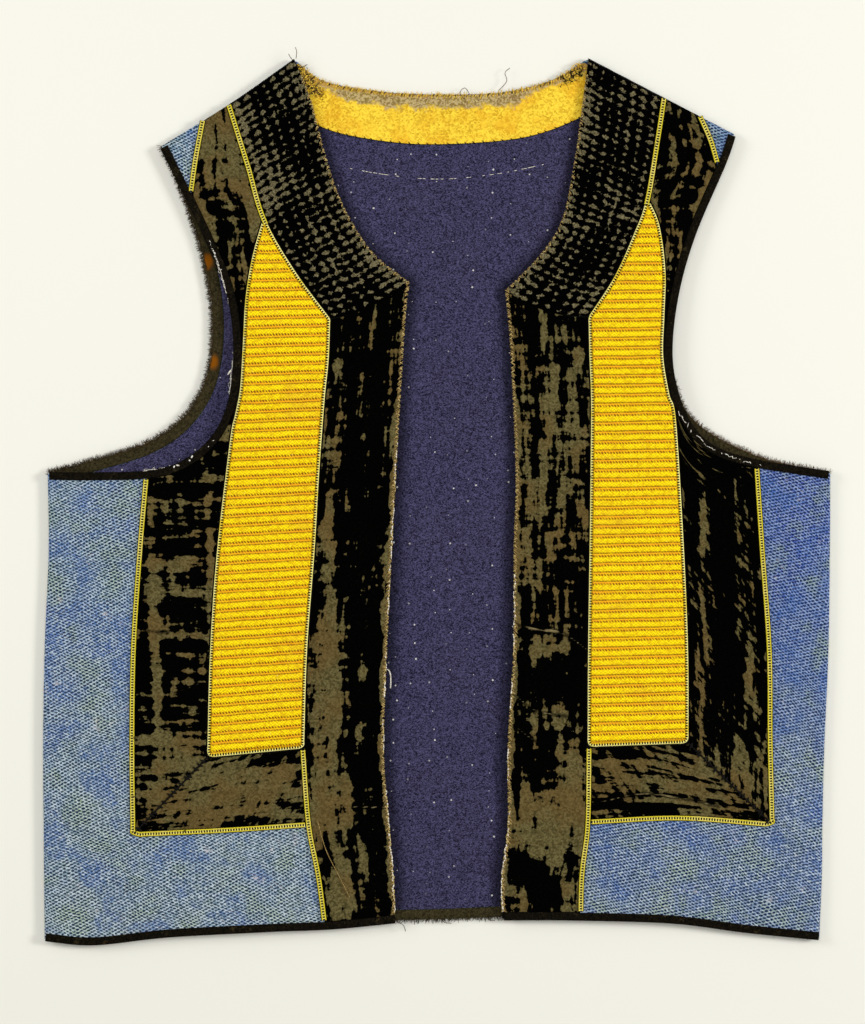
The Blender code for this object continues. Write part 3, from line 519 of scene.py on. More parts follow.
def blue_look(turn, lean, colours):
    """Blue dotted cloth: navy dots on a fading ground, streaked with pale threads at a lean.

    It is painted black where the distance field named covered is above zero, under the velvet:
    painted shade for where it shows in gaps at the velvet's edges.
    """
    def look(s):
        place = s.place()
        turned = s.scaled(place, (1, 1, 1), turn)
        dot, thread = s.group(DOTS, {"Place": turned})
        woven, = s.group(THREADS, {"Place": turned, "Pitch": THREAD_PITCH})
        _, y, _ = s.split(place)
        cloud = s.noise(place, 0.011, 3.0, 0.55)
        low = s.step(s.add(y, s.times(cloud, 160.0)), -110.0, 30.0, 0.8, 0.0)
        base = s.blend(colours[0], colours[1], cloud, 0.38, 0.62)
        base = s.mix(low, base, colours[2])
        base = s.blend(base, (90, 130, 148), y, 190.0, 215.0, 0.0, 0.85)
        spots = s.noise(place, 0.026, 3.0, 0.6)
        base = s.mix(s.times(s.step(spots, 0.52, 0.64, 0.0, 0.75), low), base, (150, 166, 148))
        base = s.blend(base, (58, 92, 168), spots, 0.34, 0.46, 0.5, 0.0)
        leant = s.scaled(s.scaled(place, (1, 1, 1), lean), (0.40, 1.5, 1.0))
        streak = s.noise(leant, 1.0, 2.0, 0.6)
        base = s.blend(base, colours[3], streak, 0.38, 0.64, 0.0, 0.95)
        tint = s.noise(place, 0.05, 4.0, 0.62)
        base = s.blend(base, (158, 178, 132), tint, 0.50, 0.66, 0.0, 0.5)
        base = s.blend(base, (70, 108, 176), tint, 0.36, 0.50, 0.55, 0.0)
        patchy = s.step(s.noise(place, 0.05, 3.0, 0.6), 0.3, 0.7, 0.86, 1.0)
        inked = s.mix(s.times(dot, patchy), base, colours[4])
        washed = s.mix(low, colours[3], (208, 222, 226))
        inked = s.mix(s.times(thread, 0.85), inked, washed)
        worn = s.step(s.noise(place, 0.085, 5.0, 0.75), 0.61, 0.72, 0.0, 0.8)
        inked = s.mix(s.times(worn, s.step(streak, 0.35, 0.6)), inked, (212, 204, 204))
        # Painted shade: black under the velvet, so gaps at its edges look shadowed
        inked = s.blend(inked, (8, 8, 6), s.field("covered"), 0.0, 0.3)
        return inked, 0.93, s.add(woven, s.times(dot, -0.35))
    return look


# Saturated, faded and lowest ground, pale streaks and ink
BACK_BLUES = ((84, 118, 166), (104, 136, 166), (120, 146, 160), (150, 172, 196), (30, 46, 80))
BLUE = {"back": finish_of("blue dotted cloth of the back", blue_look(0.45, -0.5, BACK_BLUES),
                          0.3)}


def back_halves(hem, side_l, side_r, hole_l, hole_r, top):
    """Coons grids of a back's piece below and above a level line between its armholes."""
    low_l, low_r = above(hole_l, 0, WAIST), above(hole_r, 0, WAIST)
    waist = np.array([low_l[-1], low_r[-1]])
    return [patch(hem, np.vstack([low_l, low_r[::-1]]), side_l, side_r, BACK_PITCH),
            patch(waist, top, np.vstack([waist[:1], above(hole_l, WAIST - 1)]),
                  np.vstack([waist[1:], above(hole_r, WAIST - 1)]), BACK_PITCH)]


def back_parts():
    """Lower and upper walls of the back; outside is the table side, round at the folds."""
    left, right = CURVES["left"], CURVES["right"]
    top = np.vstack([left["shoulder"][::-1], smooth(BACK_NECK)[1:-1], right["shoulder"]])
    grids = back_halves(smooth(BACK_HEM), left["side"], right["side"], left["back_armhole"],
                        right["back_armhole"], top)
    folds = [left["side"], right["side"], left["shoulder"], right["shoulder"]]
    parts = []
    for grid in grids:
        fold = np.minimum.reduce([distance_to(grid, curve) for curve in folds])
        outer = BACK_SEAM * (1 - round_over(fold, 2.2))
        inner = BACK_CLOTH + (BACK_SEAM - BACK_CLOTH) * (1 - round_over(fold - 1.5, 0.7))
        outer = np.minimum(outer, inner - THINNEST)
        parts.append(wall(lifted(grid, inner), lifted(grid, outer), grid_uv(grid)))
    return parts, grids


parts, grids = back_parts()
make_piece("back", parts, BLUE["back"])

# Back lining
# A violet navy twill that covers the inside of the back, sewn down short of the edges.  A
# cream dashed line of running stitches crosses it below the neck.
LINING_BASE = BACK_CLOTH + GAP
LINING_CLOTH = 1.0
LINING_INSET = 3.5
HEM_FREE = 6.3
ARMHOLE_FREE = 6.8
FACING_FOOT = [(-86.0, 496.8), (-60.9, 485.7), (-27.7, 479.6), (2.1, 478.2), (42.1, 480.7),
               (68.1, 486.6), (98.0, 499.5)]
FACING_LEFT = [(-96.0, 525.0), (-86.0, 496.8)]
FACING_RIGHT = [(98.0, 499.5), (104.0, 527.0)]


def crossing(first, second):
    """Where two polylines meet: a + t r = c + u s for every pair of steps, the likeliest taken."""
    a, r = first[:-1, None], np.diff(first, axis=0)[:, None]
    c, s = second[None, :-1], np.diff(second, axis=0)[None]
    cross = r[..., 0] * s[..., 1] - r[..., 1] * s[..., 0]
    cross = np.where(np.abs(cross) < 1e-12, np.nan, cross)
    gap = c - a
    t = (gap[..., 0] * s[..., 1] - gap[..., 1] * s[..., 0]) / cross
    u = (gap[..., 0] * r[..., 1] - gap[..., 1] * r[..., 0]) / cross
    point = a + t[..., None] * r
    away = np.linalg.norm(point - (first[-2] + second[1]) / 2, axis=2)
    meets = (t >= 0) & (t <= 1) & (u >= 0) & (u <= 1)
    i, j = np.unravel_index(np.argmin(np.where(meets, away, np.inf)), away.shape)
    return i + t[i, j], j + u[i, j], point[i, j]


def cut_outline(edges):
    """Trim a ring of (curve, inset) edges at their corners, with the cloth on the left."""
    runs = []
    for curve, inset in edges:
        run = offset(curve, inset)
        start, end = run[0] - run[1], run[-1] - run[-2]
        runs.append(np.vstack([run[0] + start / np.linalg.norm(start) * 30, run,
                               run[-1] + end / np.linalg.norm(end) * 30]))
    corners = [crossing(runs[i - 1], runs[i]) for i in range(len(runs))]
    trimmed = []
    for i, run in enumerate(runs):
        _, start, begin = corners[i]
        stop, _, finish = corners[(i + 1) % len(runs)]
        inner = run[math.ceil(start):math.floor(stop) + 1]
        far = np.minimum(np.linalg.norm(inner - begin, axis=1),
                         np.linalg.norm(inner - finish, axis=1))
        trimmed.append(np.vstack([begin, inner[far > 0.2], finish]))
    return trimmed


def flat_wall(grid, base, thick, roll=0.5, puff=0.0, **fields):
    """A wall on a level base, rolled over at its rim and puffed slightly between its seams."""
    edge = from_rim(grid)
    top = base + thick - roll * (1 - round_over(edge, 1.0)) + puff * round_over(edge, 9.0)
    return wall(lifted(grid, top), lifted(grid, base), grid_uv(grid), **fields)


def lining_look(s):
    """Violet navy twill: fine ribs, paler threads and lint, and painted shadow beside the fronts'
    edges.
    """
    place = s.place()
    x, y, _ = s.split(place)
    twill = s.wave(s.add(s.times(x, 0.8), y), 0.95)
    _, grain, _ = s.cells(s.scaled(place, (1.0, 1.25, 1.0)), 1.75)
    _, coarse, _ = s.cells(place, 1.1)
    tone = s.noise(place, 0.02, 3.0)
    dark = s.blend((8, 8, 28), (18, 11, 26), tone, 0.35, 0.65)
    value = s.add(s.times(grain, 0.7), s.times(coarse, 0.3))
    base = s.blend(dark, (80, 77, 110), value, 0.0, 1.1)
    # Painted shadow: the lining goes dark within 10 mm of the fronts' edges, by the field named
    # beside
    base = s.blend(base, (8, 8, 14), s.field("beside"), 1.0, 10.0, 0.62, 0.0)
    away, luck, size = s.cells(place, 0.085)
    reach = s.step(size, 0.0, 1.0, 0.022, 0.05)
    lint = s.times(s.math("LESS_THAN", away, reach), s.step(luck, 0.35, 0.85, 0.0, 0.9))
    hairs = s.step(s.noise(s.scaled(place, (0.14, 0.8, 1.0), 0.5), 1.0, 4.0, 0.8), 0.735, 0.76,
                   0.0, 0.6)
    lint = s.math("MAXIMUM", lint, hairs)
    return (s.mix(lint, base, (200, 196, 190)), 0.95,
            s.add(s.times(twill, 0.3), s.times(value, 0.4)))


LINING = finish_of("violet navy twill", lining_look, 0.25)


def lining_parts():
    """Lower and upper walls of the lining, which goes round the neck facing."""
    left, right = CURVES["left"], CURVES["right"]
    runs = cut_outline(
        [(smooth(BACK_HEM), HEM_FREE), (right["side"], LINING_INSET),
         (right["back_armhole"], ARMHOLE_FREE), (right["shoulder"][::-1], LINING_INSET),
         (smooth(FACING_RIGHT)[::-1], GAP), (smooth(FACING_FOOT)[::-1], GAP),
         (smooth(FACING_LEFT)[::-1], GAP), (left["shoulder"], LINING_INSET),
         (left["back_armhole"][::-1], ARMHOLE_FREE), (left["side"][::-1], LINING_INSET)])
    top = np.vstack([run[::-1] for run in runs[7:2:-1]])
    grids = back_halves(runs[0], runs[9][::-1], runs[1], runs[8][::-1], runs[2], top)
    fronts = [np.vstack([c["edge"], c["neck"][1:]]) for c in (left, right)]
    # beside is the distance to the fronts' edges, which sets the painted shadow on the lining
    return [flat_wall(grid, LINING_BASE, LINING_CLOTH, 0.4,
                      beside=np.minimum(*[distance_to(grid, edge) for edge in fronts]))
            for grid in grids], grids


parts, grids = lining_parts()
make_piece("back_lining", parts, LINING)

# Neck facing
# A golden cotton twill strip, shaped to the back neck and slip stitched to the lining.


def facing_look(s):
    """Golden twill: diagonal ribs, brighter flecks, lighter and darker with its folds as painted
    shade, greyed and browned along the neck edge.
    """
    place = s.place()
    u, v, _ = s.split(s.uv())
    x, y, _ = s.split(place)
    twill = s.wave(s.add(x, s.times(y, -0.9)), 1.2)
    speck = s.noise(place, 0.8, 2.0, 0.65)
    _, grain, _ = s.cells(place, 1.05)
    # folds: broad streaks that make the colour lighter and darker, painted shade of the cloth's
    # folds; it also feeds the bump
    folds = s.noise(s.scaled(place, (0.05, 0.02, 1.0), 0.4), 1.0, 3.0, 0.6)
    tone = s.add(s.times(grain, 0.6), s.times(folds, 0.7))
    base = s.blend((184, 136, 20), (248, 210, 62), tone, 0.1, 0.95)
    stain = s.step(s.noise(place, 0.05, 4.0, 0.6), 0.45, 0.65, 0.0, 0.5)
    base = s.mix(stain, base, (222, 156, 28))
    ragged = s.add(v, s.swing(22.0, place, 0.10, 5.0, 0.7))
    middle = s.step(s.math("ABSOLUTE", s.add(x, 2.0)), 46.0, 64.0, 0.0, 6.0)
    worn = s.step(s.add(ragged, s.times(middle, -1.0)), 19.5, 23.0, 0.0, 0.85)
    base = s.mix(worn, base, s.blend((104, 88, 60), (176, 158, 120), speck, 0.4, 0.6))
    rim = s.step(s.add(v, s.times(speck, 3.0)), 29.6, 31.4)
    base = s.mix(s.times(rim, 0.6), base, (176, 130, 34))
    dark = s.step(s.noise(place, 0.35, 4.0, 0.8), 0.64, 0.72, 0.0, 0.6)
    return s.mix(dark, base, (120, 84, 30)), 0.9, tone


FACING = finish_of("golden twill", facing_look, 0.3)


def facing_parts():
    """The facing's wall, from its foot to the neck and the shoulder folds."""
    left, right = CURVES["left"], CURVES["right"]
    runs = cut_outline([(smooth(FACING_FOOT), 0.0), (smooth(FACING_RIGHT), 0.0),
                        (right["shoulder"][::-1], LINING_INSET), (smooth(BACK_NECK)[::-1], 0.4),
                        (left["shoulder"], LINING_INSET), (smooth(FACING_LEFT), 0.0)])
    top = np.vstack([run[::-1] for run in runs[4:1:-1]])
    grid = patch(runs[0], top, runs[5][::-1], runs[1], 2.0)
    return [flat_wall(grid, LINING_BASE, LINING_CLOTH, 0.4, 0.15)], [grid]


parts, grids = facing_parts()
make_piece("neck_facing", parts, FACING)

# Armhole facings and back hem binding
# Brown black ribbon strips turned to the inside of the back, one round each armhole and one
# along the hem.
BACK_FACING = 6.5
BACK_HEM_BINDING = 6.0


def strip_grid(path, insets):
    """Grid of points along a path at several insets to its left."""
    return path[:, None] + left_normals(path)[:, None] * np.asarray(insets)[None, :, None]


def ribbon_look(dark, light, rubbed_colour, low, spots=()):
    """Ribbon: fine cross ribs, greyed where it is rubbed from a low value on, rusty spots."""
    def look(s):
        place = s.place()
        u, v, _ = s.split(s.uv())
        ribs = s.wave(v, 1.3)
        speck = s.noise(place, 0.9, 3.0, 0.7)
        rubbed = s.step(s.add(s.times(s.noise(place, 0.15, 4.0, 0.75), 0.7),
                              s.times(speck, 0.3)), low, low + 0.16)
        base = s.blend(dark, light, speck, 0.3, 0.7)
        base = s.mix(s.times(rubbed, 0.75), base, rubbed_colour)
        x, y, _ = s.split(place)
        for across, up in spots:
            away = s.math("SQRT", s.add(s.math("POWER", s.add(x, -across), 2.0),
                                        s.math("POWER", s.times(s.add(y, -up), 0.7), 2.0)))
            rust = s.step(s.add(away, s.times(speck, 4.0)), 3.4, 6.4, 0.9, 0.0)
            base = s.mix(rust, base, (128, 74, 8))
        return base, 0.92, s.add(s.times(ribs, 0.3), speck)
    return look


RIBBON = finish_of("olive black ribbon",
                   ribbon_look((28, 25, 14), (66, 60, 40), (84, 66, 34), 0.58,
                               ((-137.2, 143.2), (-134.2, 83.2))), 0.3, 0.05)


def strip_piece(name, path, width):
    """A flat strip inside the back, with its sides rolled over."""
    insets = width * np.array([0.0, 0.04, 0.12, 0.3, 0.5, 0.7, 0.88, 0.96, 1.0])
    grid = strip_grid(path, insets)
    part = flat_wall(grid, LINING_BASE, LINING_CLOTH, 0.6)
    make_piece(name, [part], RIBBON)


strip_piece("armhole_facing_left", part_of(CURVES["left"]["back_armhole"][::-1], 4.5, -4.5),
            BACK_FACING)
strip_piece("armhole_facing_right", part_of(CURVES["right"]["back_armhole"], 4.5, -4.5),
            BACK_FACING)
strip_piece("hem_binding_back", part_of(smooth(BACK_HEM), 9.0, -9.0), BACK_HEM_BINDING)

# Fronts
# One piece of the blue dotted cotton a side, over the back.  It shows beside the side band,
# under the foot band and at the shoulder corner, and turns down to the back at both folds.
FRONT_CLOTH = 1.6
FRONT_BASE = LINING_BASE + LINING_CLOTH + GAP
FRONT_SEAM = 2.48
FRONT_FOLD = 2.4
FRONT_PITCH = 3.0
# Hills where a front stands off the back: centre, reach across and up, height
SWELLS = [(-30.0, 190.0, 45.0, 120.0, 2.0), (-122.0, 345.0, 42.0, 60.0, 2.4),
          (-150.0, 195.0, 45.0, 90.0, 1.5), (-115.0, 8.0, 50.0, 50.0, 1.2),
          (46.0, 150.0, 45.0, 120.0, 1.8), (146.0, 345.0, 42.0, 60.0, 2.2),
          (165.0, 190.0, 45.0, 80.0, 1.2), (120.0, 12.0, 50.0, 50.0, 1.3)]
# Soft ridges of all the layers: the line from one point to another, reach and height
RIDGES = [(47.7, 190.8, 74.1, 187.2, 4.0, 1.6), (74.1, 187.2, 89.1, 176.4, 4.0, 1.5),
          (47.7, 148.2, 80.1, 135.6, 3.5, 1.0), (48.3, 129.0, 89.1, 119.4, 3.5, 1.1),
          (-74.7, 81.6, -30.9, 81.6, 2.6, 0.8), (-168.0, 262.2, -171.0, 145.0, 2.2, 0.9),
          (-129.5, 270.0, -134.0, 206.0, 2.2, 0.8), (-177.0, 186.6, -135.0, 186.6, 2.2, 0.6),
          (96.0, 96.0, 190.0, 93.0, 2.2, 0.7), (-166.0, 92.0, -90.0, 92.0, 2.6, 0.6),
          (214.0, 250.0, 212.0, 60.0, 5.0, 0.9), (-205.0, 240.0, -210.0, 80.0, 6.0, 0.7),
          (-200.0, 40.0, -60.0, 44.0, 6.0, 0.6), (60.0, 45.0, 190.0, 40.0, 7.0, 0.6)]


def creased(xy, table):
    """Sum of height exp(-(d / reach)^2), with d the distance to each of the table's lines."""
    total = np.zeros(xy.shape[:-1])
    for x0, up0, x1, up1, reach, height in table:
        start, run = np.array([x0, up0]), np.array([x1 - x0, up1 - up0])
        share = np.clip((xy - start) @ run / (run @ run), 0, 1)
        away = np.linalg.norm(xy - start - share[..., None] * run, axis=-1)
        total += height * np.exp(-(away / reach) ** 2)
    return total


def front_lift(xy):
    """Height of a front above its flat level: the hills and the ridges."""
    total = creased(xy, RIDGES)
    for x, up, reach_x, reach_up, height in SWELLS:
        total += height * np.exp(-((xy[..., 0] - x) / reach_x) ** 2
                                 - ((xy[..., 1] - up) / reach_up) ** 2)
    return total


def four_sides(side, groups):
    """Trimmed foot, inner, top and outer edges of a piece, running inwards or upwards."""
    flat = [edge for group in groups for edge in group]
    if side == "right":
        flat = [(curve[::-1], inset) for curve, inset in flat[::-1]]
    runs = cut_outline(flat)
    if side == "right":
        runs = [run[::-1] for run in runs[::-1]]
    merged = []
    for group in groups:
        merged.append(np.vstack(runs[:len(group)]))
        runs = runs[len(group):]
    foot, inner, top, outer = merged
    return foot, top[::-1], outer[::-1], inner


def from_outside(side, foot):
    """A foot curve of a side, run from its outer end to its inner end."""
    return foot if side == "left" else foot[::-1]


def covered_by(side, xy):
    """Distance inside the outer edge of the sewn bands, below zero outside it."""
    c = CURVES[side]
    outline = np.vstack([c["hem_seam"][:1] + (0, -40), c["hem_seam"][c["hem_seam"][:, 1] < 70],
                         from_outside(side, c["band_foot"])[::-1], c["band"],
                         above(c["armhole"], 0, 465)[20:],
                         c["shoulder_braid"], [(0.0, 620.0)], [(0.0, -40.0)]])
    a, b = outline, np.roll(outline, -1, axis=0)
    x, y = xy.reshape(-1, 2)[:, :1], xy.reshape(-1, 2)[:, 1:]
    rise = np.where(b[:, 1] == a[:, 1], 1.0, b[:, 1] - a[:, 1])
    hit = ((a[:, 1] > y) != (b[:, 1] > y)) & (x < (b[:, 0] - a[:, 0]) * (y - a[:, 1]) / rise
                                              + a[:, 0])
    inside = (hit.sum(axis=1) % 2 == 1).reshape(xy.shape[:-1])
    return np.clip(distance_to(xy, outline), 0, 8) * np.where(inside, 1, -1)


def front_parts(side):
    """Lower and upper walls of a front, round at the side and shoulder folds."""
    c = CURVES[side]
    foot, top, outer, inner = four_sides(side, [
        [(c["hem"][::-1], 0.0)], [(c["edge"], 0.0), (c["neck"], 0.0)], [(c["shoulder"], 0.0)],
        [(c["armhole"][::-1], 0.0), (c["side"][::-1], 0.0)]])
    corner = (-150.0, 288.5) if side == "left" else (170.0, 294.4)
    bend = np.argmin(np.linalg.norm(outer - np.array(corner), axis=1))
    under = np.argmin(np.linalg.norm(outer - c["side"][-1], axis=1))
    edge_low, edge_high = above(inner, 0, 281), above(inner, 279.5)
    across = np.array([outer[bend], edge_low[-1]])
    lower = patch(foot, np.vstack([outer[under:bend], across]), outer[:under + 1], edge_low,
                  FRONT_PITCH)
    upper = patch(across, top, outer[bend:], np.vstack([edge_low[-1:], edge_high[1:]]),
                  FRONT_PITCH)
    parts = []
    for grid in (lower, upper):
        fold = np.minimum(distance_to(grid, c["side"]), distance_to(grid, c["shoulder"]))
        lift = FRONT_BASE + front_lift(grid)
        outside = FRONT_SEAM + (lift + FRONT_CLOTH - FRONT_SEAM) * round_over(fold, FRONT_FOLD)
        inside = FRONT_SEAM + (lift - FRONT_SEAM) * round_over(fold - FRONT_CLOTH, 0.8)
        inside = np.minimum(inside, outside - THINNEST)
        parts.append(wall(lifted(grid, outside), lifted(grid, inside), grid_uv(grid),
                          covered=covered_by(side, grid)))
    return parts, (lower, upper)


# The dots' turn, the streaks' lean, and the colours in the order of the back's
FRONT_BLUES = {
    "left": (0.45, -0.5, ((76, 106, 168), (100, 130, 158), (112, 138, 148), (190, 208, 220),
                          (14, 30, 62))),
    "right": (0.75, 0.45, ((52, 76, 160), (76, 104, 156), (104, 128, 148), (148, 168, 204),
                           (14, 28, 70)))}
for side, blues in FRONT_BLUES.items():
    BLUE[side] = finish_of(f"blue dotted cloth of the {side} front", blue_look(*blues), 0.3)
    parts, grids = front_parts(side)
    make_piece(f"front_{side}", parts, BLUE[side])

# Velvet bands
# Black cotton velvet a side in five pieces: neck, centre, foot, side and shoulder.  Its pile
# is rubbed off in taupe patches and streaks; sharp creases have a painted tan highlight and
# painted shadow beside them.
TRIM_CLOTH = 1.0
VELVET_INSET = 1.8
ARMHOLE_BINDING = 3.5
HEM_BINDING = 3.6
FOLD_INSET = 0.25
GATHERS = 32
STITCH_ROWS = 7
BAND_WIDE = 42.0
BAND_LONG = 165.0
SEAM_BOW = np.array([-1.0, -4.2])
SEAM_GAP = 0.03
BAND_BREAK = (318, 362)
CORNER_CUT = 3.0
CURVE_END = -1e-9
VELVET_PITCH = 1.2
# Rubbed patches: centre, reach across and up, turn in degrees, strength (below 0 stays black)
WEAR = [(-66, 152, 12, 50, 0, 0.75), (-62, 82, 15, 24, -8, 0.8), (-58, 34, 9, 22, 6, 0.7),
        (-44, 46, 3.0, 38, 0, 0.6), (-42.9, 127.2, 6, 9, 0, 0.7), (-42.9, 162.6, 4.5, 5, 0, 0.7),
        (-40, 110, 12, 60, 0, -0.35), (-44, 250, 12, 120, 0, -0.25), (-66, 274, 9, 82, 0, 0.12),
        (-168, 175, 3.2, 75, 2, 0.9), (-134, 200, 3.0, 70, 2, 0.7), (-64, 235, 4, 42, 0, 0.5),
        (68, 265, 26, 50, 0, 0.35), (68, 208, 24, 16, 0, 0.05), (70, 335, 22, 40, 0, 0.28),
        (60, 178, 16, 9, 0, 0.6), (72, 158, 22, 11, 0, -0.55), (66, 136, 24, 8, -16, 0.35),
        (66, 112, 20, 12, 0, -0.2), (79, 100, 10, 22, 0, 0.75), (67, 70, 26, 22, 0, 0.85),
        (60, 38, 26, 9, -42, -0.75), (82, 24, 12, 20, 0, 0.5), (50, 28, 8, 16, 0, 0.5),
        (145, 98, 62, 22, 0, 0.45), (122, 82.2, 36, 1.8, 0, -0.9), (-130, 92, 56, 22, 0, 0.74),
        (158, 193, 3.0, 90, 0, 0.45), (186, 185, 3.0, 80, 0, 0.3), (172, 215, 8, 90, 0, -0.35),
        (-131, 482, 13, 38, 8, 0.42), (-112, 470, 13, 46, 14, 0.55), (-98, 500, 8, 22, 0, 0.3),
        (118, 400, 6, 40, -10, 0.5), (178, 110, 18, 12, 0, 0.1), (-158, 121, 24, 9, 0, 0.5),
        (-153, 190, 16, 70, 0, 0.18), (-150, 262, 12, 22, 0, -0.1), (-130, 430, 22, 70, 14, 0.22),
        (150, 430, 20, 70, -12, 0.22), (-80, 440, 22, 60, 20, 0.1), (105, 440, 22, 60, -12, 0.1)]
# Sharp creases, with a painted highlight along the crest and painted shadow beside it; the first
# number makes them fainter
CRESTS = [(0.0, (47.7, 190.6), (60.0, 187.8), (72.0, 186.6), (80.0, 183.0), (89.1, 176.4)),
          (0.35, (47.7, 148.2), (58.0, 140.0), (68.0, 137.4), (78.0, 136.0)),
          (0.3, (48.3, 129.0), (58.0, 122.0), (63.0, 119.9)),
          (0.4, (-50.0, 81.8), (-30.9, 81.6)),
          (0.5, (-175.0, 187.0), (-160.0, 185.9)),
          (0.25, (98.0, 84.6), (122.0, 89.4), (146.0, 87.0), (168.0, 82.0)),
          (0.5, (-34.0, 190.0), (-47.0, 188.0)), (0.5, (-78.0, 276.0), (-68.0, 279.0)),
          (0.5, (-156.0, 150.0), (-140.0, 156.0)), (0.5, (165.0, 236.0), (178.0, 232.0))]


def crest_at(xy):
    """Distance in millimetres to the nearest crease plus its faintness, 9 at the most."""
    found = [faint + distance_to(xy, smooth(line, 1.0)) for faint, *line in CRESTS]
    return np.minimum(np.minimum.reduce(found), 9.0)


def nearest_side(xy):
    """Curves of the front that points lie on: their mean x is left of the vest's middle or not."""
    return CURVES["left" if xy[..., 0].mean() < 6.0 else "right"]


def wear_at(xy):
    """Rub: sum over the patches of strength exp(-(across^2 + along^2)^2), and front edges."""
    edge = distance_to(xy, above(nearest_side(xy)["edge"], 0, 330))
    waver = 0.6 * np.sin(xy[..., 1] / 2.3) + 0.9 * np.sin(xy[..., 1] / 6.1 + 1.0)
    total = 1.0 * np.exp(-(edge / (2.6 + waver)) ** 4)
    for x, up, reach_x, reach_up, turn, strength in WEAR:
        angle = math.radians(turn)
        dx, dy = xy[..., 0] - x, xy[..., 1] - up
        across = (dx * math.cos(angle) + dy * math.sin(angle)) / reach_x
        along = (dy * math.cos(angle) - dx * math.sin(angle)) / reach_up
        total += strength * np.exp(-(across ** 2 + along ** 2) ** 2)
    return total


def make_rub_group():
    """Where pile is rubbed off: the field plus noise drawn out along and across the band."""
    tree, s, given, out = group_of("rubbed pile",
                                   {"Place": "Vector", "Along": "Vector", "Rub": "Float"},
                                   ["Bare", "Grain", "Depth"])
    total = given["Rub"]
    for scale, share in (((0.16, 0.022, 1.0), 2.7), ((0.36, 0.07, 1.0), 1.5),
                         ((0.07, 0.22, 1.0), 1.7), ((0.5, 0.5, 1.0), 0.5)):
        total = s.add(total, s.swing(share, s.scaled(given["Along"], scale), 1.0, 1.5))
    grain = s.noise(given["Place"], 0.95, 2.0, 0.6)
    total = s.add(total, s.times(s.add(grain, -0.5), 0.16))
    tree.links.new(s.step(total, 0.27, 0.33), out["Bare"])
    tree.links.new(grain, out["Grain"])
    tree.links.new(total, out["Depth"])
    return tree


RUBBED = make_rub_group()


def rubbed_look(s):
    """Black pile over a taupe ground that shows where rubbed, with a painted highlight along sharp
    creases and painted shadow beside them.
    """
    place = s.place()
    bare, grain, depth = s.group(RUBBED, {"Place": place, "Along": s.uv(),
                                          "Rub": s.field("rub")})
    _, thread, _ = s.cells(place, 1.0)
    weave = s.add(s.times(grain, 0.4), s.times(thread, 0.6))
    taupe = s.blend((66, 60, 35), (104, 95, 62), weave, 0.1, 0.9)
    hue = s.step(s.noise(place, 0.035, 3.0, 0.6), 0.42, 0.62, 0.0, 0.75)
    taupe = s.mix(hue, taupe, s.mix(weave, (72, 58, 32), (108, 88, 52)))
    thin = s.step(depth, 0.30, 0.55, 0.35, 0.0)
    taupe = s.mix(thin, taupe, (40, 38, 24))
    black = s.blend((2, 2, 1), (17, 17, 12), grain, 0.52, 0.85)
    colour = s.mix(bare, black, taupe)
    crest = s.field("crest")
    wander = s.add(crest, s.swing(2.6, place, 0.14, 3.0))
    # Painted shadow beside each crease, then a painted highlight along its crest
    colour = s.blend(colour, (6, 6, 4), wander, 0.5, 2.2, 0.8, 0.0)
    colour = s.blend(colour, (140, 126, 88), wander, 0.1, 0.7, 0.85, 0.0)
    return colour, 0.95, s.add(s.times(grain, 0.8), s.times(bare, -0.7))


VELVET = finish_of("rubbed black velvet", rubbed_look, 0.45, 0.02)


def trim_base(xy):
    """Underside of what is sewn on a front: its top and a hair's gap, down over the folds."""
    top = FRONT_BASE + front_lift(xy) + FRONT_CLOTH
    c = nearest_side(xy)
    fold = np.minimum(distance_to(xy, c["side"]), distance_to(xy, c["shoulder"]))
    return top - (top - FRONT_SEAM) * (1 - round_over(fold, FRONT_FOLD)) + GAP


def velvet_wall(grid, top_extra=0.0):
    """A velvet wall on a front, rolled over at its rim, thinner where the pile is rubbed."""
    edge, base, rub = from_rim(grid), trim_base(grid), wear_at(grid)
    top = base + TRIM_CLOTH - 0.55 * (1 - round_over(edge, 1.3)) + 0.2 * round_over(edge, 7.0)
    top = top - 0.2 * np.clip(rub, 0, 1) + top_extra
    return wall(lifted(grid, top), lifted(grid, base), grid_uv(grid), rub=rub,
                crest=crest_at(grid))


def neck_grid(side, along, across):
    """Points along the neck band from the shoulder and across it from the neck edge."""
    c = CURVES[side]
    inset = -VELVET_INSET if side == "left" else VELVET_INSET
    edge = at_shares(part_of(c["neck"][::-1], FOLD_INSET + 0.6, 0), along)
    seam = at_shares(part_of(offset(c["neck_seam"], inset)[::-1], FOLD_INSET + 0.6, 0), along)
    t = across[None, :, None]
    bow = (along ** 4)[:, None, None] * 4 * t * (1 - t) * SEAM_BOW
    return edge[:, None] * (1 - t) + seam[:, None] * t + bow


def corner_seam(side):
    """The seam at the neck band's lower end, where the centre band begins."""
    c = CURVES[side]
    t = np.linspace(0, 1, 24)[:, None]
    return c["neck"][0] * (1 - t) + c["neck_seam"][0] * t + 4 * t * (1 - t) * SEAM_BOW


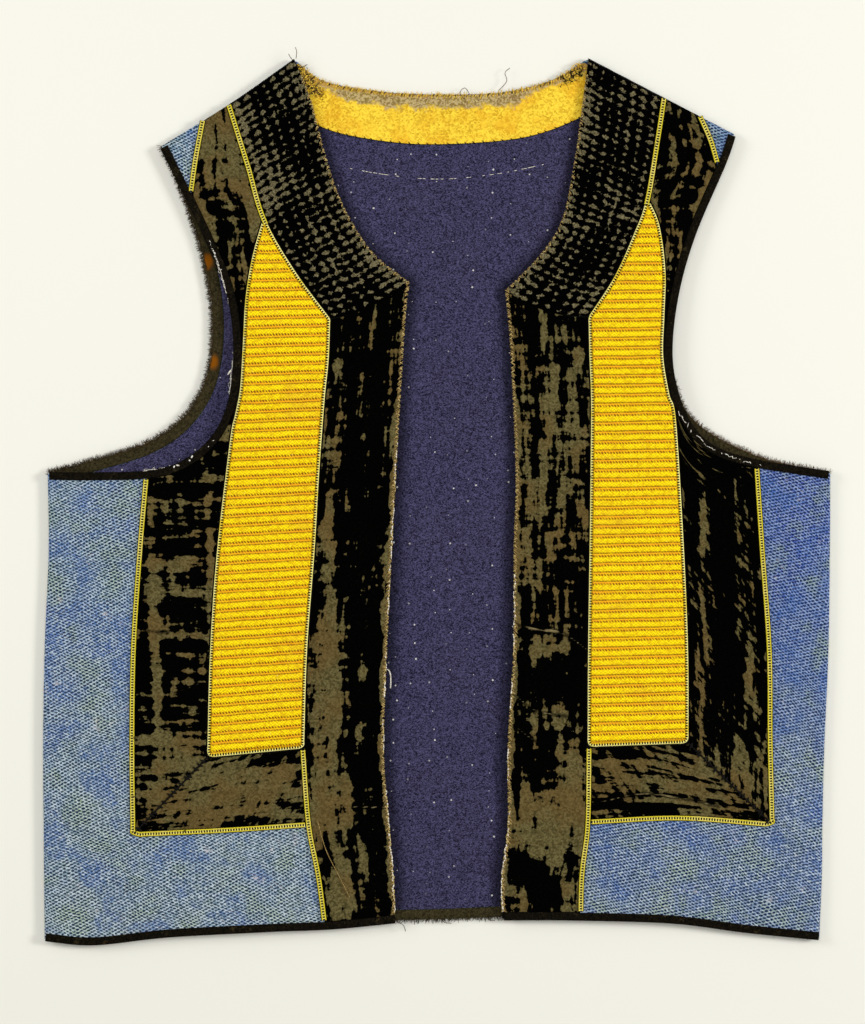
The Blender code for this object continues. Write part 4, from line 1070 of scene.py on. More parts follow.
def gathered_look(s):
    """Velvet gathered into ribs between stitched rows, the pile worn off the ribs' tops."""
    place, uv = s.place(), s.uv()
    _, grain, _ = s.group(RUBBED, {"Place": place, "Along": uv, "Rub": s.field("rub")})
    u, v, _ = s.split(uv)
    wander = s.swing(6.0, place, 0.10, 3.0)
    rib = s.wave(s.add(v, wander), BAND_LONG / GATHERS, math.pi)
    across = s.add(u, s.swing(5.0, place, 0.16, 3.0))
    row = s.wave(across, BAND_WIDE / STITCH_ROWS, math.pi)
    near = s.step(s.add(u, s.times(grain, 3.0)), 6.0, 9.0, 1.0, 0.0)
    row = s.math("MAXIMUM", row, s.times(near, 0.85))
    patch_tone = s.swing(1.3, place, 0.045, 3.0)
    blur = s.swing(2.0, place, 0.32, 3.0, 0.65)
    total = s.add(s.add(s.times(rib, 0.55), s.times(row, 0.38)), s.add(patch_tone, blur))
    total = s.add(total, s.times(s.field("rub"), 0.55))
    total = s.add(total, s.times(s.step(row, 0.86, 1.0), 0.12))
    total = s.add(total, s.times(near, 0.10))
    tick = s.step(total, 0.76, 0.84)
    taupe = s.blend((66, 61, 42), (118, 110, 82), grain, 0.36, 0.66)
    black = s.blend((2, 2, 1), (16, 15, 12), grain, 0.55, 0.85)
    return s.mix(tick, black, taupe), 0.95, s.add(s.times(grain, 0.8), s.times(tick, -0.5))


GATHERED = finish_of("gathered black velvet", gathered_look, 0.45, 0.02)


def velvet_grids(side):
    """Grids of the centre, foot, side and shoulder bands of one front.

    The side band's top and the shoulder band's foot are cut off level under the armhole binding.
    """
    c = CURVES[side]
    foot, panel_foot = from_outside(side, c["band_foot"]), from_outside(side, c["panel_foot"])
    seam = np.vstack([c["panel_in"][::-1], c["hem_seam"][::-1][1:]])
    low, high = BAND_BREAK
    grids = {
        "centre": patch(*four_sides(side, [
            [(c["hem"][::-1], HEM_BINDING + GAP)], [(c["edge"], 0.0)],
            [(corner_seam(side), SEAM_GAP)], [(seam, VELVET_INSET)]]), VELVET_PITCH),
        "foot": patch(*four_sides(side, [
            [(foot, VELVET_INSET)], [(c["hem_seam"], VELVET_INSET)],
            [(panel_foot[::-1], VELVET_INSET)], [(c["mitre"][::-1], SEAM_GAP)]]),
            VELVET_PITCH)}
    foot_run, hole_run, band_run, inner_run = four_sides(side, [
        [(c["mitre"], SEAM_GAP)], [(above(c["panel_out"], 0, low), VELVET_INSET)],
        [(above(c["armhole"], 0, low)[::-1], ARMHOLE_BINDING + GAP)],
        [(c["band"][::-1], VELVET_INSET)]])
    outer_run = part_of(np.vstack([band_run, hole_run[1:]]), 0, -CORNER_CUT, 1.0)
    inner_run = part_of(inner_run, 0, -CORNER_CUT, 1.0)
    grids["side"] = patch(foot_run, np.vstack([outer_run[-1], inner_run[-1]]), outer_run,
                          inner_run, VELVET_PITCH)
    inner_run, braid_run, hole_run, top_run = four_sides(side, [
        [(above(np.vstack([c["panel_out"], c["above_tip"]]), high), VELVET_INSET)],
        [(c["shoulder"], FOLD_INSET)], [(c["shoulder_braid"][::-1], VELVET_INSET)],
        [(above(c["armhole"], high)[::-1], ARMHOLE_BINDING + GAP)]])
    outer_run = part_of(np.vstack([hole_run, braid_run[1:]]), CORNER_CUT, CURVE_END, 1.0)
    inner_run = part_of(inner_run, CORNER_CUT, CURVE_END, 1.0)
    grids["shoulder"] = patch(np.vstack([outer_run[0], inner_run[0]]), top_run[::-1],
                              outer_run, inner_run, VELVET_PITCH)
    return grids


for side in ("left", "right"):
    for name, grid in velvet_grids(side).items():
        part = velvet_wall(grid)
        # The pile is drawn out along the foot band, and straight across the left side band
        if name == "foot":
            part["uv"] = part["uv"][:, ::-1]
        elif (name, side) == ("side", "left"):
            part["uv"] = np.tile(grid.reshape(-1, 2)[:, ::-1], (2, 1))
        make_piece(f"{name}_band_{side}", [part], VELVET)
    along, across = np.linspace(0, 1, GATHERS * 6 + 1), shares(BAND_WIDE, 1.0)
    grid = neck_grid(side, along, across)
    ribs = (0.5 - 0.5 * np.cos(2 * np.pi * GATHERS * along))[:, None]
    near = np.exp(-(across / 0.15) ** 4)[None]
    rows = 0.5 - 0.5 * np.cos(2 * np.pi * STITCH_ROWS * across)[None]
    uv = np.stack(np.broadcast_arrays(BAND_WIDE * across[None], BAND_LONG * along[:, None]),
                  axis=2)
    part = velvet_wall(grid, ribs * (0.5 * near + 0.3 * rows * (1 - near)))
    part["uv"] = np.tile(uv.reshape(-1, 2), (2, 1))
    make_piece(f"neck_band_{side}", [part], GATHERED)

# Yellow panels
# A ribbed yellow cotton panel a side.  Each rib is held by a pair of orange brown stitched
# lines, one of them dotted with small dark chevrons.
PANEL_INSET = 1.2
RIB_PITCH = 5.6
RIB_HEIGHT = 0.5
ROWS_A_RIB = 9
DOT_PITCH = 1.75


def panel_look(dotted_line, solid_line):
    """Yellow weave with zigzag specks, and the two stitched lines at each rib's foot."""
    def look(s):
        place = s.place()
        u, v, _ = s.split(s.uv())
        wander = s.swing(0.9, place, 0.08, 3.0)
        level = s.add(v, wander)
        phase = s.times(s.add(s.math("FRACT", s.add(s.times(level, 1 / RIB_PITCH), 0.5)), -0.5),
                        RIB_PITCH)
        zig = s.times(s.math("ABSOLUTE", s.add(s.math("FRACT", s.times(u, 1 / 2.6)), -0.5)), 3.4)
        rows = s.wave(s.add(phase, zig), 1.9)
        _, grain, _ = s.cells(place, 0.85)
        base = s.blend((226, 176, 4), (255, 230, 16), rows, 0.1, 0.6)
        base = s.blend(base, (206, 156, 6), grain, 0.62, 0.9, 0.0, 0.55)
        pale = s.step(s.noise(place, 0.5, 3.0, 0.8), 0.66, 0.74, 0.0, 0.5)
        base = s.mix(pale, base, (250, 238, 150))
        # Darker orange in random patches over the panel
        orange_patches = s.step(s.noise(place, 0.03, 4.0, 0.65), 0.52, 0.70, 0.0, 0.35)
        base = s.mix(orange_patches, base, (206, 150, 40))
        between = s.line(phase, 0.0, 0.55, 0.4)
        vary = s.step(s.noise(s.scaled(place, (0.10, 0.35, 1.0)), 1.0, 3.0, 0.6), 0.3, 0.62,
                      0.35, 0.95)
        base = s.mix(s.times(between, vary), base, (242, 168, 28))
        gaps = s.step(s.noise(place, 0.4, 2.0, 0.7), 0.34, 0.52, 0.6, 1.0)
        for middle, half, between_dots, strength in ((dotted_line, 0.48, 0.15, 1.0),
                                                     (solid_line, 0.30, 0.55, 0.85)):
            beads = s.step(s.wave(s.add(u, s.times(level, 0.6)), DOT_PITCH), 0.25, 0.7,
                           between_dots, 1.0)
            mark = s.times(s.line(phase, middle, half, 0.3), beads)
            base = s.mix(s.times(s.times(mark, gaps), strength), base, (112, 54, 6))
        relief = s.add(s.times(rows, 0.35), s.times(grain, 0.5))
        return base, 0.85, s.add(relief, s.times(mark, -0.5))
    return look


PANEL = {"left": finish_of("ribbed yellow cotton, left", panel_look(0.9, -0.9), 0.3),
         "right": finish_of("ribbed yellow cotton, right", panel_look(-0.9, 0.9), 0.3)}


def panel_grid(side):
    """Rows of points across the panel, each row's level above the foot, and the middle's x.

    A row climbs by the ribs' slope, which eases to a fifth of itself towards the tip.
    """
    c = CURVES[side]
    inward = 1 if side == "left" else -1
    outer = offset(c["panel_out"][::-1], PANEL_INSET * inward)
    seam = np.vstack([c["panel_in"], c["below_tip"][1:]])
    inner = offset(seam, PANEL_INSET * inward)
    foot = offset(from_outside(side, c["panel_foot"]), PANEL_INSET * inward)
    slope = EDGES[side]["rib_slope"]
    middle = (outer[-1, 0] + inner[0, 0]) / 2
    base = foot[:, 1].mean() + 0.2
    rows = np.arange(base, seam[-1, 1] - 3.4, RIB_PITCH / ROWS_A_RIB)
    ease = 0.8 * slope / (seam[-1, 1] - base)
    ends = []
    for run in (outer[::-1], inner):
        away = run[:, 0] - middle
        level = (run[:, 1] - (slope + ease * base) * away) / (1 - ease * away)
        order = np.argsort(level)
        xs = np.interp(rows, level[order], run[order, 0])
        ends.append(np.column_stack([xs, rows + (slope - ease * (rows - base)) * (xs - middle)]))
    wide = (ends[1][:, 0] - ends[0][:, 0]) * inward > 1.2
    share = shares(60.0, 2.2, (0.0, 0.3, 0.9, 1.8))[None, :, None]
    grid = ends[0][wide][:, None] * (1 - share) + ends[1][wide][:, None] * share
    return grid, rows[wide] - base, middle


for side in ("left", "right"):
    grid, level, middle = panel_grid(side)
    rib = (0.5 - 0.5 * np.cos(2 * np.pi * level / RIB_PITCH)) ** 0.6
    base = trim_base(grid)
    top = base + TRIM_CLOTH + RIB_HEIGHT * rib[:, None]
    top = top - 0.4 * (1 - round_over(from_rim(grid), 0.8))
    uv = np.stack([grid[..., 0] - middle, np.broadcast_to(level[:, None], grid.shape[:2])],
                  axis=2)
    make_piece(f"yellow_panel_{side}", [wall(lifted(grid, top), lifted(grid, base), uv)],
               PANEL[side])

# Panel edgings
# A narrow cream cord with black knots, sewn over the panel's raw edge on three sides.
EDGING_HEIGHT = 1.3
KNOT_PITCH = 1.6
CORD_HALF = VELVET_INSET - 0.05


def edging_look(s):
    """Yellow inside, then a ladder of cream and black squares, a cream line, and black."""
    place = s.place()
    u, v, _ = s.split(s.uv())
    grain = s.noise(place, 1.6, 3.0, 0.8)
    wear = s.noise(place, 0.05, 4.0, 0.7)
    cream = s.blend((244, 226, 96), (255, 250, 176), grain, 0.3, 0.7)
    cream = s.blend(cream, (240, 214, 70), wear, 0.5, 0.62)
    yellow = s.blend((206, 160, 20), (250, 220, 50), grain, 0.3, 0.7)
    colour = s.blend(cream, yellow, u, 0.1, 0.4)
    squares = s.times(s.step(s.wave(v, KNOT_PITCH), 0.3, 0.5), s.line(u, 0.25, 0.62, 0.15))
    outside = s.step(u, -0.95, -0.8, 1.0, 0.0)
    torn = s.step(s.noise(place, 0.22, 3.0, 0.8), 0.64, 0.70, 0.0, 0.8)
    dark = s.math("MAXIMUM", s.math("MAXIMUM", squares, outside), torn)
    return s.mix(dark, colour, (16, 14, 8)), 0.9, s.add(grain, s.times(squares, -0.6))


EDGING = finish_of("cream knotted cord", edging_look, 0.3)


def relief_strip(path, half, relief, columns):
    """A closed strip along a path, its top raised by relief(u, v) over both in millimetres."""
    u = half * np.sin(np.linspace(-np.pi / 2, np.pi / 2, columns))
    v = run_lengths(path)
    grid = strip_grid(path, u)
    base = trim_base(grid)
    uv = np.stack(np.meshgrid(u, v), axis=2)
    top = base + np.maximum(relief(uv[..., 0], uv[..., 1]), 0.08)
    return wall(lifted(grid, top), lifted(grid, base), uv)


def edging_relief(u, v):
    """A half round cord, 1.3 sqrt(1 - u^2), pinched between its knots."""
    dome = np.sqrt(np.clip(1 - u ** 2, 0, 1))
    return EDGING_HEIGHT * dome * (0.86 + 0.14 * np.cos(2 * np.pi * v / KNOT_PITCH)) + 0.2


def edging_path(side):
    """Round the panel from its tip down the outside, along the foot and up to the tip again."""
    c = CURVES[side]
    foot = from_outside(side, c["panel_foot"])
    seam = np.vstack([c["panel_in"], c["below_tip"][1:]])
    round_path = np.vstack([part_of(c["panel_out"][::-1], 2.3, -1.2), foot[1:-1],
                            part_of(seam, 1.2, -2.3)])
    eased = smooth(at_shares(round_path, np.linspace(0, 1, 300)), 0.4)
    return eased[::-1] if side == "right" else eased


for side in ("left", "right"):
    part = relief_strip(edging_path(side), CORD_HALF, edging_relief, 9)
    make_piece(f"panel_edging_{side}", [part], EDGING)

# Braids
# Two yellow cords joined by pale rungs with black squares between them, couched over the
# outer edges of the velvet.
BRAID_HEIGHT = 1.4
BRAID_STEP = 0.36
BEFORE_CORNER = -1.5


def braid_look(s):
    """Yellow twisted cords at both sides, cream rungs and black squares between them."""
    place = s.place()
    u, v, _ = s.split(s.uv())
    grain = s.noise(place, 1.6, 3.0, 0.8)
    twist = s.wave(s.add(v, s.times(s.math("ABSOLUTE", u), 0.9)), 0.8)
    tone = s.add(s.times(twist, 0.5), s.times(grain, 0.5))
    gold = s.blend((186, 160, 14), (252, 238, 62), tone, 0.3, 0.7)
    fade = s.step(s.noise(place, 0.05, 4.0, 0.7), 0.48, 0.62, 0.0, 0.7)
    gold = s.mix(fade, gold, (236, 216, 110))
    rung = s.blend((220, 200, 70), (250, 240, 150), grain, 0.35, 0.65)
    middle = s.line(u, 0.0, 0.62, 0.15)
    squares = s.step(s.wave(v, KNOT_PITCH), 0.36, 0.56)
    colour = s.mix(middle, gold, s.mix(squares, rung, (14, 12, 10)))
    side = s.step(s.math("ABSOLUTE", u), 1.28, 1.45)
    torn = s.step(s.noise(place, 0.2, 3.0, 0.8), 0.65, 0.71, 0.0, 0.85)
    return (s.mix(s.math("MAXIMUM", side, torn), colour, (20, 16, 12)), 0.85,
            s.add(tone, s.times(s.times(middle, squares), -0.8)))


BRAID = finish_of("yellow braid", braid_look, 0.35)


def braid_relief(u, v):
    """Two cords, 1.4 sqrt(1 - ((|u| - 0.95) / 0.56)^2), with rungs 0.3 to 0.9 high between."""
    cords = BRAID_HEIGHT * np.sqrt(np.clip(1 - ((np.abs(u) - 0.95) / 0.56) ** 2, 0, 1))
    cords = cords * (0.92 + 0.08 * np.cos(2 * np.pi * (v + np.abs(u)) / 0.8))
    rungs = np.where(np.abs(u) < 0.95, 0.6 - 0.3 * np.cos(2 * np.pi * v / KNOT_PITCH), 0.0)
    return np.maximum(cords, rungs) + 0.15


def braid_paths(side):
    """Paths of the neck, shoulder, side and hem braids of one front.

    The side braid starts at the armhole binding: the band's seam is cut back or led on to it.
    """
    c = CURVES[side]
    foot = from_outside(side, c["band_foot"])
    ahead = c["above_tip"][1] - c["above_tip"][0]
    start = c["below_tip"][-1:] - 1.8 * ahead / np.linalg.norm(ahead)
    neck = np.vstack([start, c["above_tip"]])
    band = c["band"][::-1]
    ahead = (band[0] - band[3]) / np.linalg.norm(band[0] - band[3])
    reach = float(distance_to(band[:1], c["armhole"])[0]) - ARMHOLE_BINDING - 0.5
    if reach < 0:
        runs = [part_of(part_of(band, -reach, 0), 0.0, BEFORE_CORNER)]
    else:
        runs = [band[:1] + ahead * reach, part_of(band, 0.4, BEFORE_CORNER)]
    corner = np.vstack([*runs, foot[2:]])
    order = np.argsort(c["hem"][:, 0])
    start = c["hem_seam"][0]
    hem_up = np.interp(start[0], c["hem"][order, 0], c["hem"][order, 1])
    paths = {
        "neck": (neck, 0.0, -FOLD_INSET - 0.6),
        "shoulder": (c["shoulder_braid"], ARMHOLE_BINDING + 1.8, -FOLD_INSET - 0.6),
        "side": (smooth(corner, BRAID_STEP), 0.0, -VELVET_INSET - 0.4),
        "hem": (c["hem_seam"][::-1], VELVET_INSET + 0.1,
                start[1] - hem_up - HEM_BINDING - 1.0)}
    return {name: part_of(*cut, BRAID_STEP) for name, cut in paths.items()}


for side in ("left", "right"):
    for name, path in braid_paths(side).items():
        part = relief_strip(path, CORD_HALF, braid_relief, 13)
        make_piece(f"{name}_braid_{side}", [part], BRAID)

# Bindings of the fronts
# The brown black ribbon folded over the raw edges of the armholes and hems.
BINDING_CLOTH = 1.0
BLACK_RIBBON = finish_of("black ribbon",
                         ribbon_look((6, 6, 4), (30, 26, 18), (76, 66, 44), 0.55), 0.3, 0.05)


def swept(points, v):
    """A closed tube of rows of section points, with fans of quads over both ends."""
    rows, columns = points.shape[:2]
    index = np.arange(rows * columns).reshape(rows, columns)
    after = np.roll(index, -1, axis=1)
    body = np.column_stack([index[:-1].ravel(), after[:-1].ravel(), after[1:].ravel(),
                            index[1:].ravel()])
    pairs = np.arange(columns // 2 - 1)
    ends = [np.column_stack([row[pairs + 1], row[pairs], row[columns - 1 - pairs],
                             row[columns - 2 - pairs]]) for row in (index[0], index[-1])]
    ends[1] = ends[1][:, ::-1]
    across = np.concatenate([[0], np.cumsum(np.linalg.norm(np.diff(points[0], axis=0), axis=1))])
    uv = np.stack(np.meshgrid(across, v), axis=2).reshape(-1, 2)
    return {"points": points.reshape(-1, 3), "faces": np.vstack([body] + ends), "uv": uv,
            "fields": {}}


def wrapped_binding(path, width):
    """A ribbon folded over an edge: an L section, round outside, with small puckers."""
    out, drop, half = -GAP - BINDING_CLOTH, -FRONT_CLOTH - GAP, width / 2
    section = np.array([(width, 0.35), (width - 0.1, 0.75), (width - 0.5, 0.96), (half, 1.0),
                        (0.4, 1.0), (out + 0.55, 0.9), (out + 0.12, 0.5), (out, -0.2),
                        (out, drop + 0.3), (out + 0.3, drop),
                        (-GAP, drop), (-GAP, -0.9), (-GAP, -0.4), (-GAP, 0.0), (0.5, 0.0),
                        (half, 0.0), (width - 0.6, 0.0), (width - 0.2, 0.0), (width, 0.1),
                        (width, 0.2)])
    v = run_lengths(path)
    pucker = 0.5 + 0.5 * np.sin(v / 0.9 + 1.5 * np.sin(v / 7.0))
    normals = left_normals(path)[:, None]
    edge = path[:, None] + normals * np.clip(section[None, :, :1], 0, None)
    z = trim_base(edge) + section[None, :, 1]
    z[:, 1:6] -= 0.14 * pucker[:, None]
    return swept(lifted(path[:, None] + normals * section[None, :, :1], z), v)


for side in ("left", "right"):
    c = CURVES[side]
    armhole = part_of(c["armhole"], FOLD_INSET + 1.0, -FOLD_INSET - 1.2, 1.0)
    hem = part_of(c["hem"], 0.4, -FOLD_INSET - 0.4, 1.0)
    if side == "left":
        armhole, hem = armhole[::-1], hem[::-1]
    for name, path, width in (("armhole", armhole, ARMHOLE_BINDING), ("hem", hem, HEM_BINDING)):
        part = wrapped_binding(path, width)
        make_piece(f"{name}_binding_{side}", [part], BLACK_RIBBON)

# Stitches
# Small hand stitches: tan and white overcasting along the front edges, black whip stitches over
# the mitres, dark slip stitches and gold and black overcasting round the facing, and a broken
# row of cream running stitches on the lining.
LUCK = np.random.default_rng(7)


def thread_look(dark, light):
    """Twisted thread: a light and a dark shade in turn, mixed by fine noise."""
    def look(s):
        grain = s.noise(s.place(), 1.3, 2.0, 0.7)
        return s.blend(dark, light, grain, 0.35, 0.65), 0.85, grain
    return look


THREAD = {name: finish_of(f"{name} thread", thread_look(dark, light), 0.1)
          for name, dark, light in (("tan", (96, 78, 42), (180, 152, 96)),
                                    ("old_gold", (136, 112, 58), (216, 194, 130)),
                                    ("white", (190, 180, 160), (250, 246, 236)),
                                    ("gold", (190, 140, 30), (246, 214, 90)),
                                    ("black", (4, 4, 3), (26, 23, 18)),
                                    ("brown", (40, 28, 14), (110, 84, 50)),
                                    ("olive", (24, 21, 12), (74, 64, 40)))}


def thread_bits(starts, ends, rise, radius):
    """Short bent threads, start + t run + rise sin(pi t) up, square and thinner at both ends."""
    t = np.linspace(0, 1, 5)
    run = ends - starts
    centre = starts[:, None] + run[:, None] * t[None, :, None]
    centre[..., 2] += np.reshape(rise, (-1, 1)) * np.sin(np.pi * t)
    across = np.cross(run, (0.0, 0.0, 1.0))
    across /= np.linalg.norm(across, axis=1)[:, None] + 1e-9
    lift = np.cross(across, run)
    lift /= np.linalg.norm(lift, axis=1)[:, None] + 1e-9
    angle = np.arange(4) * np.pi / 2
    ring = (across[:, None, None] * np.cos(angle)[:, None]
            + lift[:, None, None] * np.sin(angle)[:, None])
    thick = np.reshape(radius, (-1, 1, 1, 1)) * (0.45 + 0.55 * np.sin(np.pi * t))[:, None, None]
    points = centre[:, :, None] + ring * thick
    base = np.arange(len(starts))[:, None, None] * 20
    row, k = np.meshgrid(np.arange(4) * 4, np.arange(4), indexing="ij")
    quads = np.stack([row + k, row + (k + 1) % 4, row + 4 + (k + 1) % 4, row + 4 + k], axis=-1)
    caps = np.array([[3, 2, 1, 0], [16, 17, 18, 19]])
    faces = np.concatenate([quads.reshape(-1, 4), caps])[None] + base
    count = points.size // 3
    return {"points": points.reshape(-1, 3), "faces": faces.reshape(-1, 4)[:, ::-1],
            "uv": np.zeros((count, 2)), "fields": {}}


def heading(curve, at, step):
    """Unit directions of a curve at shares of its length, over a step of shares each way."""
    ahead = at_shares(curve, np.clip(at + step, 0, 1)) - at_shares(curve, np.clip(at - step, 0, 1))
    return ahead / np.linalg.norm(ahead, axis=1)[:, None]


def stitches_over(curve, pitch, first, last, lean, jitter):
    """Starts and ends of stitches across a curve, from one distance to its left to another."""
    count = int(run_lengths(curve)[-1] / pitch)
    at = (np.arange(count) + 0.5 + LUCK.uniform(-jitter, jitter, count)) / count
    points = at_shares(curve, np.clip(at, 0, 1))
    ahead = heading(curve, at, 0.001)
    left = np.column_stack([-ahead[:, 1], ahead[:, 0]])
    spread = LUCK.uniform(0.75, 1.25, (count, 1))
    return (points + left * first * spread - ahead * lean / 2,
            points + left * last + ahead * lean / 2)


def sewn(name, colour, starts, ends, start_z, end_z, rise, radius):
    """A piece of joined stitches between two sets of (x, up) points with heights."""
    part = thread_bits(lifted(starts, start_z), lifted(ends, end_z), rise, radius)
    make_piece(name, [part], THREAD[colour], extra=True)


def velvet_top(xy):
    """Height of the velvet's top on a front, without the rub."""
    return trim_base(xy) + TRIM_CLOTH + 0.05


# Pitch, reach, lean and thread of each round of overcasting, and the heights between which
# threads run along the edge
OVERCASTING = ((2.0, 1.7, 1.9, "tan"), (2.7, 1.2, -1.2, "old_gold"), (3.4, 2.0, 2.8, "tan"))
THREAD_RUNS = {"left": ((18, 92), (112, 134), (146, 176), (196, 300)),
               "right": ((18, 80), (96, 118), (140, 160), (172, 222))}
for side, runs in THREAD_RUNS.items():
    c = CURVES[side]
    sign = 1 if side == "left" else -1
    edge = above(np.vstack([c["edge"], c["neck"][1:]]), 18, 520)
    for number, (pitch, reach, lean, colour) in enumerate(OVERCASTING):
        starts, ends = stitches_over(edge, pitch, reach * sign, -0.5 * sign, lean, 0.45)
        sewn(f"edge_overcasting_{side}_{number + 1}", colour, starts, ends,
             velvet_top(starts) - 0.15, trim_base(ends) + 0.5, 0.4,
             LUCK.uniform(0.18, 0.46, len(starts)))
    for number, (low, high) in enumerate(runs):
        along = above(edge, low, high)
        for strand, colour in enumerate(("white", "old_gold")):
            path = at_shares(along, np.linspace(0, 1, int(run_lengths(along)[-1] / 1.5)))
            path = path + LUCK.normal(0, 0.32, path.shape)
            keep = LUCK.uniform(0, 1, len(path) - 1) > (0.25 if low < 100 else 0.45)
            first, last = path[:-1][keep], path[1:][keep]
            sewn(f"edge_thread_{side}_{number + 1}_{strand + 1}", colour, first, last,
                 velvet_top(first) - 0.1, velvet_top(last) - 0.1, 0.35,
                 LUCK.uniform(0.15, 0.5, len(first)))
    starts, ends = stitches_over(part_of(c["mitre"], 3.0, -2.5), 3.6, 1.9, -1.9, 1.2, 0.4)
    sewn(f"mitre_stitches_{side}", "black", starts, ends, velvet_top(starts) + 0.1,
         velvet_top(ends) + 0.1, 0.6, 0.7)
    middle = part_of(c["mitre"], 1.0, -1.0, 2.0)
    sewn(f"mitre_seam_{side}", "black", middle[:-1], middle[1:], velvet_top(middle[:-1]) + 0.05,
         velvet_top(middle[1:]) + 0.05, 0.1, 0.6)

neck = smooth(BACK_NECK)[3:-3]
INSIDE_TOP = LINING_BASE + LINING_CLOTH
for colour, pitch, reach in (("gold", 1.9, 2.6), ("black", 5.2, 1.8), ("brown", 4.4, 1.8)):
    starts, ends = stitches_over(neck, pitch, -reach, 0.3, 1.2, 0.5)
    sewn(f"neck_overcasting_{colour}", colour, starts, ends, INSIDE_TOP + 0.1,
         INSIDE_TOP - 0.5, 0.4, LUCK.uniform(0.2, 0.34, len(starts)))
foot = smooth(FACING_FOOT)[2:-2]
starts, ends = stitches_over(foot, 5.4, 1.1, -0.5, 1.6, 0.2)
sewn("facing_slip_stitches", "black", starts, ends, INSIDE_TOP + 0.1, INSIDE_TOP + 0.1, 0.15,
     0.24)
sewn("facing_foot_seam", "black", foot[:-1], foot[1:], INSIDE_TOP - 0.05, INSIDE_TOP - 0.05,
     0.05, 0.2)
running = smooth([(-66.0, 466.5), (-30.0, 460.0), (2.1, 457.4), (36.0, 460.5), (66.0, 466.5)],
                 1.0)
at = np.sort(LUCK.uniform(0.0, 0.985, 44))
sewn("running_stitches", "white", at_shares(running, at),
     at_shares(running, at + LUCK.uniform(0.006, 0.016, 44)), INSIDE_TOP + 0.05,
     INSIDE_TOP + 0.05, 0.15, 0.22)

# Frayed edges and loose threads
# Fuzz where the armhole strips are raw, white frayed thread beside both armhole bindings, and
# a few threads that have worked loose at the neck, the hem and the front edge.


def fuzz(name, colour, curve, count, reach, z, outward, radius):
    """Fine short fibres that stand out from an edge, to its right where outward is 1."""
    at = LUCK.uniform(0, 1, count)
    points = at_shares(curve, at)
    ahead = heading(curve, at, 0.004)
    out = np.column_stack([ahead[:, 1], -ahead[:, 0]]) * outward
    long = reach * LUCK.uniform(0.35, 1.0, (count, 1)) ** 1.5
    lean = LUCK.normal(0, 0.8, (count, 1))
    way = out + ahead * lean
    way /= np.linalg.norm(way, axis=1)[:, None]
    starts = points - out * LUCK.uniform(0.2, 1.5, (count, 1))
    low = z + LUCK.uniform(-0.4, 0.3, count)
    sewn(name, colour, starts, starts + way * (long + 1.0), low,
         low + LUCK.uniform(-0.3, 0.5, count), LUCK.uniform(0.1, 0.6, count), radius)


hole = {side: CURVES[side]["back_armhole"] for side in ("left", "right")}
fuzz("fuzz_left_armhole", "olive", hole["left"], 2600, 3.0, 2.4, -1, 0.12)
fuzz("fuzz_left_armhole_brown", "brown", hole["left"], 500, 2.6, 2.4, -1, 0.1)
fuzz("fuzz_right_armhole", "brown", hole["right"][:60], 900, 2.6, 2.4, 1, 0.1)
fuzz("fuzz_back_hem", "olive", above(smooth(BACK_HEM), 0, 99)[95:140], 420, 2.8, 1.8, 1, 0.12)
fuzz("fuzz_neck_gold", "gold", neck, 420, 1.5, INSIDE_TOP, -1, 0.12)
NECK_CORNERS = {"left": np.array([(-81.5, 524.0), (-78.0, 517.0), (-70.0, 508.0)]),
                "right": np.array([(87.0, 524.0), (82.0, 519.0), (76.0, 515.5)])}
for side, colour, count in (("left", "gold", 150), ("left", "brown", 120), ("left", "black", 60),
                            ("right", "gold", 60), ("right", "black", 70)):
    where = at_shares(NECK_CORNERS[side], LUCK.uniform(0, 1, count))
    where = where + LUCK.normal(0, 1.4, (count, 2))
    sewn(f"fray_neck_{side}_{colour}", colour, where, where + LUCK.normal(0, 1.5, (count, 2)),
         INSIDE_TOP + 0.2, INSIDE_TOP + 0.9, 0.5, LUCK.uniform(0.12, 0.34, count))
fuzz("fuzz_right_binding", "brown", part_of(CURVES["right"]["armhole"], 40.0, -20.0), 900, 1.3,
     5.0, -1, 0.11)
for side, count, outward in (("left", 260, -1), ("right", 700, 1)):
    fuzz(f"fuzz_front_hem_{side}", "olive", CURVES[side]["hem"], count, 1.6, 4.0, outward, 0.1)


def thread_run(points, pitch):
    """A smooth run through (x, up, z) points, and its heights, even between them."""
    flat = smooth([point[:2] for point in points], pitch)
    return flat, np.interp(np.linspace(0, 1, len(flat)), np.linspace(0, 1, len(points)),
                           [point[2] for point in points])


WHITE_RUN = [(-148.0, 448.0, 4.6), (-143.7, 438.0, 5.2), (-132.3, 411.0, 6.2),
             (-122.9, 380.0, 6.8), (-121.5, 372.0, 6.8), (-120.6, 357.0, 6.8),
             (-122.9, 339.2, 6.8), (-123.7, 325.2, 6.8), (-125.9, 311.2, 6.8),
             (-134.0, 299.2, 6.6), (-147.9, 289.2, 6.4), (-161.9, 284.4, 6.2),
             (-175.0, 282.6, 6.0)]
run, high = thread_run(WHITE_RUN, 1.2)
for number, (reach, radius) in enumerate(((0.4, 0.3), (0.8, 0.22), (1.3, 0.16))):
    shaken = run + LUCK.normal(0, reach * 0.5, run.shape)
    sewn(f"white_fray_{number + 1}", "white", shaken[:-1], shaken[1:], high[:-1], high[1:], 0.2,
         LUCK.uniform(0.3, 1.0, len(run) - 1) * radius)
ragged = smooth([(142.4, 322.2), (147.2, 313.2), (155.0, 303.6), (162.8, 297.0), (173.0, 292.2),
                 (185.0, 288.0), (194.0, 285.6)], 1.4)
ragged = ragged + LUCK.normal(0, 0.5, ragged.shape)
keep = LUCK.uniform(0, 1, len(ragged) - 1) > 0.4
first, last = ragged[:-1][keep], ragged[1:][keep]
